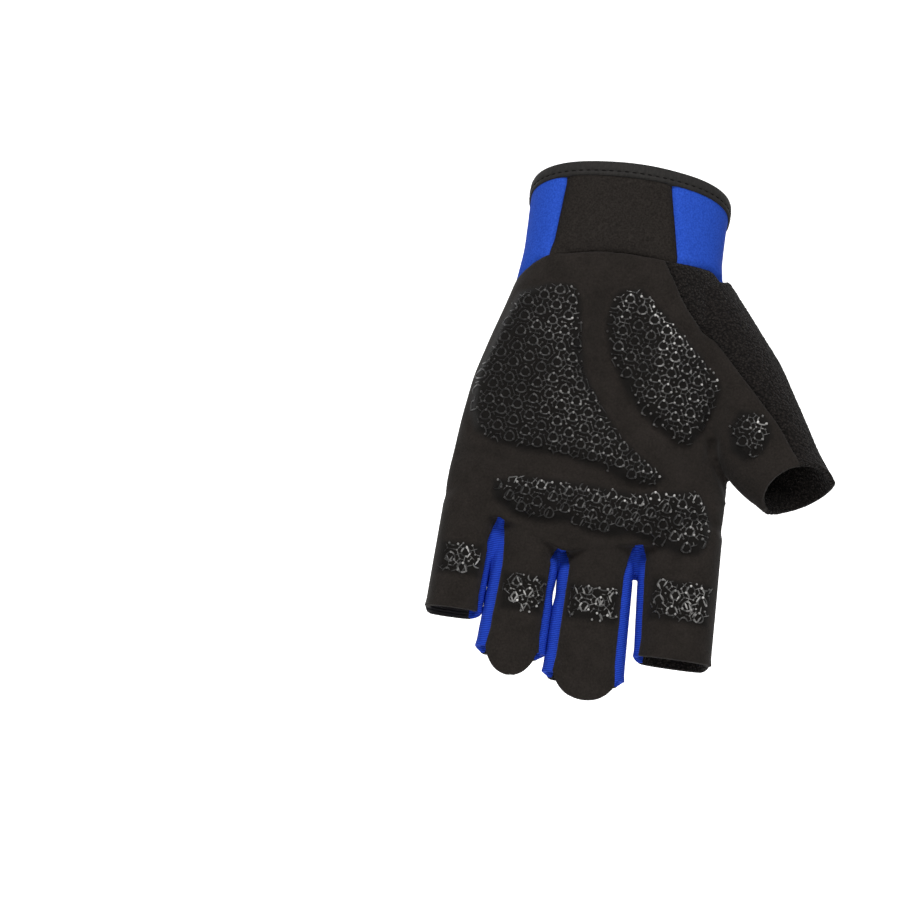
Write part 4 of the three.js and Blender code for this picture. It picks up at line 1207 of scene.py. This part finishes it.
class Look:
    """A material, built from one shader and the nodes that drive it."""

    def __init__(self, name, **constants):
        self.material = bpy.data.materials.new(name)
        self.material.use_nodes = True
        self.tree = self.material.node_tree
        self.shader = self.tree.nodes["Principled BSDF"]
        self.feed(**constants)

    def node(self, kind, settings=None, inputs=None, output=0):
        made_node = self.tree.nodes.new(kind)
        for key, value in (settings or {}).items():
            setattr(made_node, key, value)
        for key, value in (inputs or {}).items():
            self.put(made_node.inputs[key], value)
        return Wire(self, made_node.outputs[output])

    def put(self, socket, value):
        if isinstance(value, Wire):
            self.tree.links.new(value.socket, socket)
        else:
            socket.default_value = value

    def feed(self, **links):
        for key, value in links.items():
            self.put(self.shader.inputs[key.replace("_", " ")], value)

    def coordinates(self):
        return self.node("ShaderNodeTexCoord", output="Object")

    def place(self, scale=(1, 1, 1)):
        return self.node("ShaderNodeMapping", inputs={0: self.coordinates(), "Scale": scale})

    def noise(self, scale, detail=2.0, stretch=(1, 1, 1)):
        where = self.place(stretch)
        return self.node("ShaderNodeTexNoise", inputs={"Vector": where, "Scale": scale, "Detail": detail})

    def marked(self, name):
        """The value that the piece's vertices carry under this name."""
        return self.node("ShaderNodeAttribute", {"attribute_name": name}, output="Fac")

    def ribs(self, period):
        """Even ribs across the hand, 0 to 1."""
        z = self.node("ShaderNodeSeparateXYZ", inputs={0: self.coordinates()}, output="Z")
        turns = z * (2 * math.pi / period)
        return self.node("ShaderNodeMath", {"operation": "SINE"}, {0: turns}) * 0.5 + 0.5

    def mix(self, factor, a, b):
        return self.node("ShaderNodeMix", {"data_type": "RGBA"}, {0: factor, 6: a, 7: b}, 2)

    def bump(self, height, strength, distance):
        values = {"Height": height, "Strength": strength, "Distance": distance}
        return self.node("ShaderNodeBump", inputs=values)

    def cloth(self, tone, low, high, height, strength, distance):
        """Colours the look from low to high by a tone, and stands its weave up by a height."""
        self.feed(Base_Color=self.mix(tone, low, high), Normal=self.bump(height, strength, distance))
        return self.material


def colour(r, g, b):
    """A colour given as it is seen, 0 to 255, as linear light."""
    seen = [v / 255 for v in (r, g, b)]
    return tuple(v / 12.92 if v <= 0.04045 else ((v + 0.055) / 1.055) ** 2.4 for v in seen) + (1,)


def suede():
    look = Look("suede", Roughness=0.95, Sheen_Weight=0.06, Sheen_Roughness=0.5, Specular_IOR_Level=0.12)
    mottle, nap, grain = look.noise(160, 3), look.noise(2600), look.noise(1500)
    bare = look.mix(mottle * 0.8 + grain * 1.2 - 0.5, colour(28, 25, 22), colour(48, 43, 40))
    ink = look.marked("printed") * 0.8
    return look.cloth(ink, bare, colour(17, 16, 15), nap + mottle * 0.6, 0.5, 0.0003)


def terry():
    look = Look("terry", Roughness=1.0, Sheen_Weight=0.06, Sheen_Roughness=0.5, Specular_IOR_Level=0.08)
    loop = 1 - look.node("ShaderNodeTexVoronoi", inputs={"Vector": look.place(), "Scale": 1250}) * 1.5
    tone = loop * (look.noise(1100) * 1.9 - 0.25)
    return look.cloth(tone, colour(23, 21, 20), colour(56, 51, 48), loop, 0.8, 0.0006)


def rib_knit():
    look = Look("rib_knit", Roughness=0.95, Sheen_Weight=0.05, Specular_IOR_Level=0.12)
    rib = look.ribs(0.00096)
    return look.cloth(rib, colour(24, 23, 24), colour(48, 46, 48), rib + look.noise(1800) * 0.3, 0.7, 0.0003)


def blue_ribbed():
    look = Look("blue_ribbed", Roughness=0.85, Specular_IOR_Level=0.08)
    rib = look.ribs(0.00062)
    return look.cloth(rib, colour(24, 50, 158), colour(44, 82, 208), rib, 0.5, 0.0002)


def neoprene(name, dark, light):
    look = Look(name, Roughness=0.9, Specular_IOR_Level=0.08)
    weave = look.noise(1700)
    return look.cloth(weave * 2.2 - 0.6, dark, light, weave, 0.5, 0.0002)


def tape():
    look = Look("tape", Roughness=0.8, Sheen_Weight=0.04, Specular_IOR_Level=0.25)
    rib = look.noise(1400, 1, (1, 1, 0.35))
    return look.cloth(rib, colour(27, 26, 25), colour(50, 48, 46), rib, 0.4, 0.0002)


def strap_cloth():
    look = Look("strap_cloth", Roughness=0.95, Sheen_Weight=0.08, Specular_IOR_Level=0.1)
    pile = look.noise(1500, 3)
    return look.cloth(pile, colour(44, 41, 39), colour(78, 74, 70), pile, 0.6, 0.0003)


def thread():
    look = Look("thread", Roughness=0.85, Specular_IOR_Level=0.1)
    look.feed(Base_Color=look.mix(look.noise(900), colour(14, 13, 13), colour(26, 24, 23)))
    return look.material


def silicone():
    look = Look("silicone", Roughness=0.28, Specular_IOR_Level=0.45, IOR=1.5)
    # Painted highlight: the base colour runs from black to near white with the vertices' painted highlight
    # value, broken into patches by noise.
    highlight_patches = look.noise(90, 1) * 1.6 - 0.1
    look.feed(Base_Color=look.mix(look.marked("painted_highlight") * highlight_patches, colour(20, 19, 18), colour(250, 248, 245)))
    return look.material


FINISH = {
    "suede": suede(), "terry": terry(), "rib_knit": rib_knit(), "blue_ribbed": blue_ribbed(),
    "black_neoprene": neoprene("black_neoprene", colour(30, 27, 25), colour(49, 45, 42)),
    "blue_neoprene": neoprene("blue_neoprene", colour(34, 70, 174), colour(50, 92, 206)),
    "tape": tape(), "strap_cloth": strap_cloth(), "silicone": silicone(), "thread": thread(),
}
for piece in made.values():
    piece.data.materials.clear()
    piece.data.materials.append(FINISH[piece.get("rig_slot", "thread")])
print("finishes:", len(FINISH))

# %% [markdown]
# ## Floor, backdrop and light
# A pale floor lies well below the fingers and a white backdrop stands behind. The main soft light stands
# at the upper left and weaker ones keep the shadows open. Most of the silicone's highlights are painted into
# its colour.

# %% Studio
def board(name, place, turned, value, glow=0.0):
    """A wide plain board for the floor or the backdrop."""
    bpy.ops.mesh.primitive_plane_add(size=6, location=place, rotation=(math.radians(turned), 0, 0))
    plane = bpy.context.object
    plane.name = name
    look = Look(name + "_paint", Roughness=0.9, Base_Color=(value, value, value, 1))
    look.feed(Emission_Color=(1, 1, 1, 1), Emission_Strength=glow)
    plane.data.materials.append(look.material)
    return plane


board("floor", (0, 0, -0.42), 0, 0.85)
board("backdrop", (0, 1.6, 0), 90, 0.9, 1.0)


def soft_light(place, size, power, target=(0.0, 0.0, -0.06)):
    bpy.ops.object.light_add(type="AREA", location=place)
    light = bpy.context.object
    light.data.size = size
    light.data.energy = power
    light.rotation_euler = (Vector(target) - Vector(place)).to_track_quat("-Z", "Y").to_euler()


soft_light((-0.35, -1.05, 0.9), 0.42, 13.5)
soft_light((0.8, -1.0, 0.45), 0.3, 3.0)
soft_light((-0.3, -1.2, 0.1), 0.3, 0.8)
soft_light((0.2, 1.1, 0.9), 0.9, 5)
world = bpy.data.worlds.new("studio")
world.use_nodes = True
background = world.node_tree.nodes["Background"]
background.inputs[0].default_value = (1, 1, 1, 1)
background.inputs[1].default_value = 0.12
bpy.context.scene.world = world
bpy.context.scene.view_settings.view_transform = "Standard"
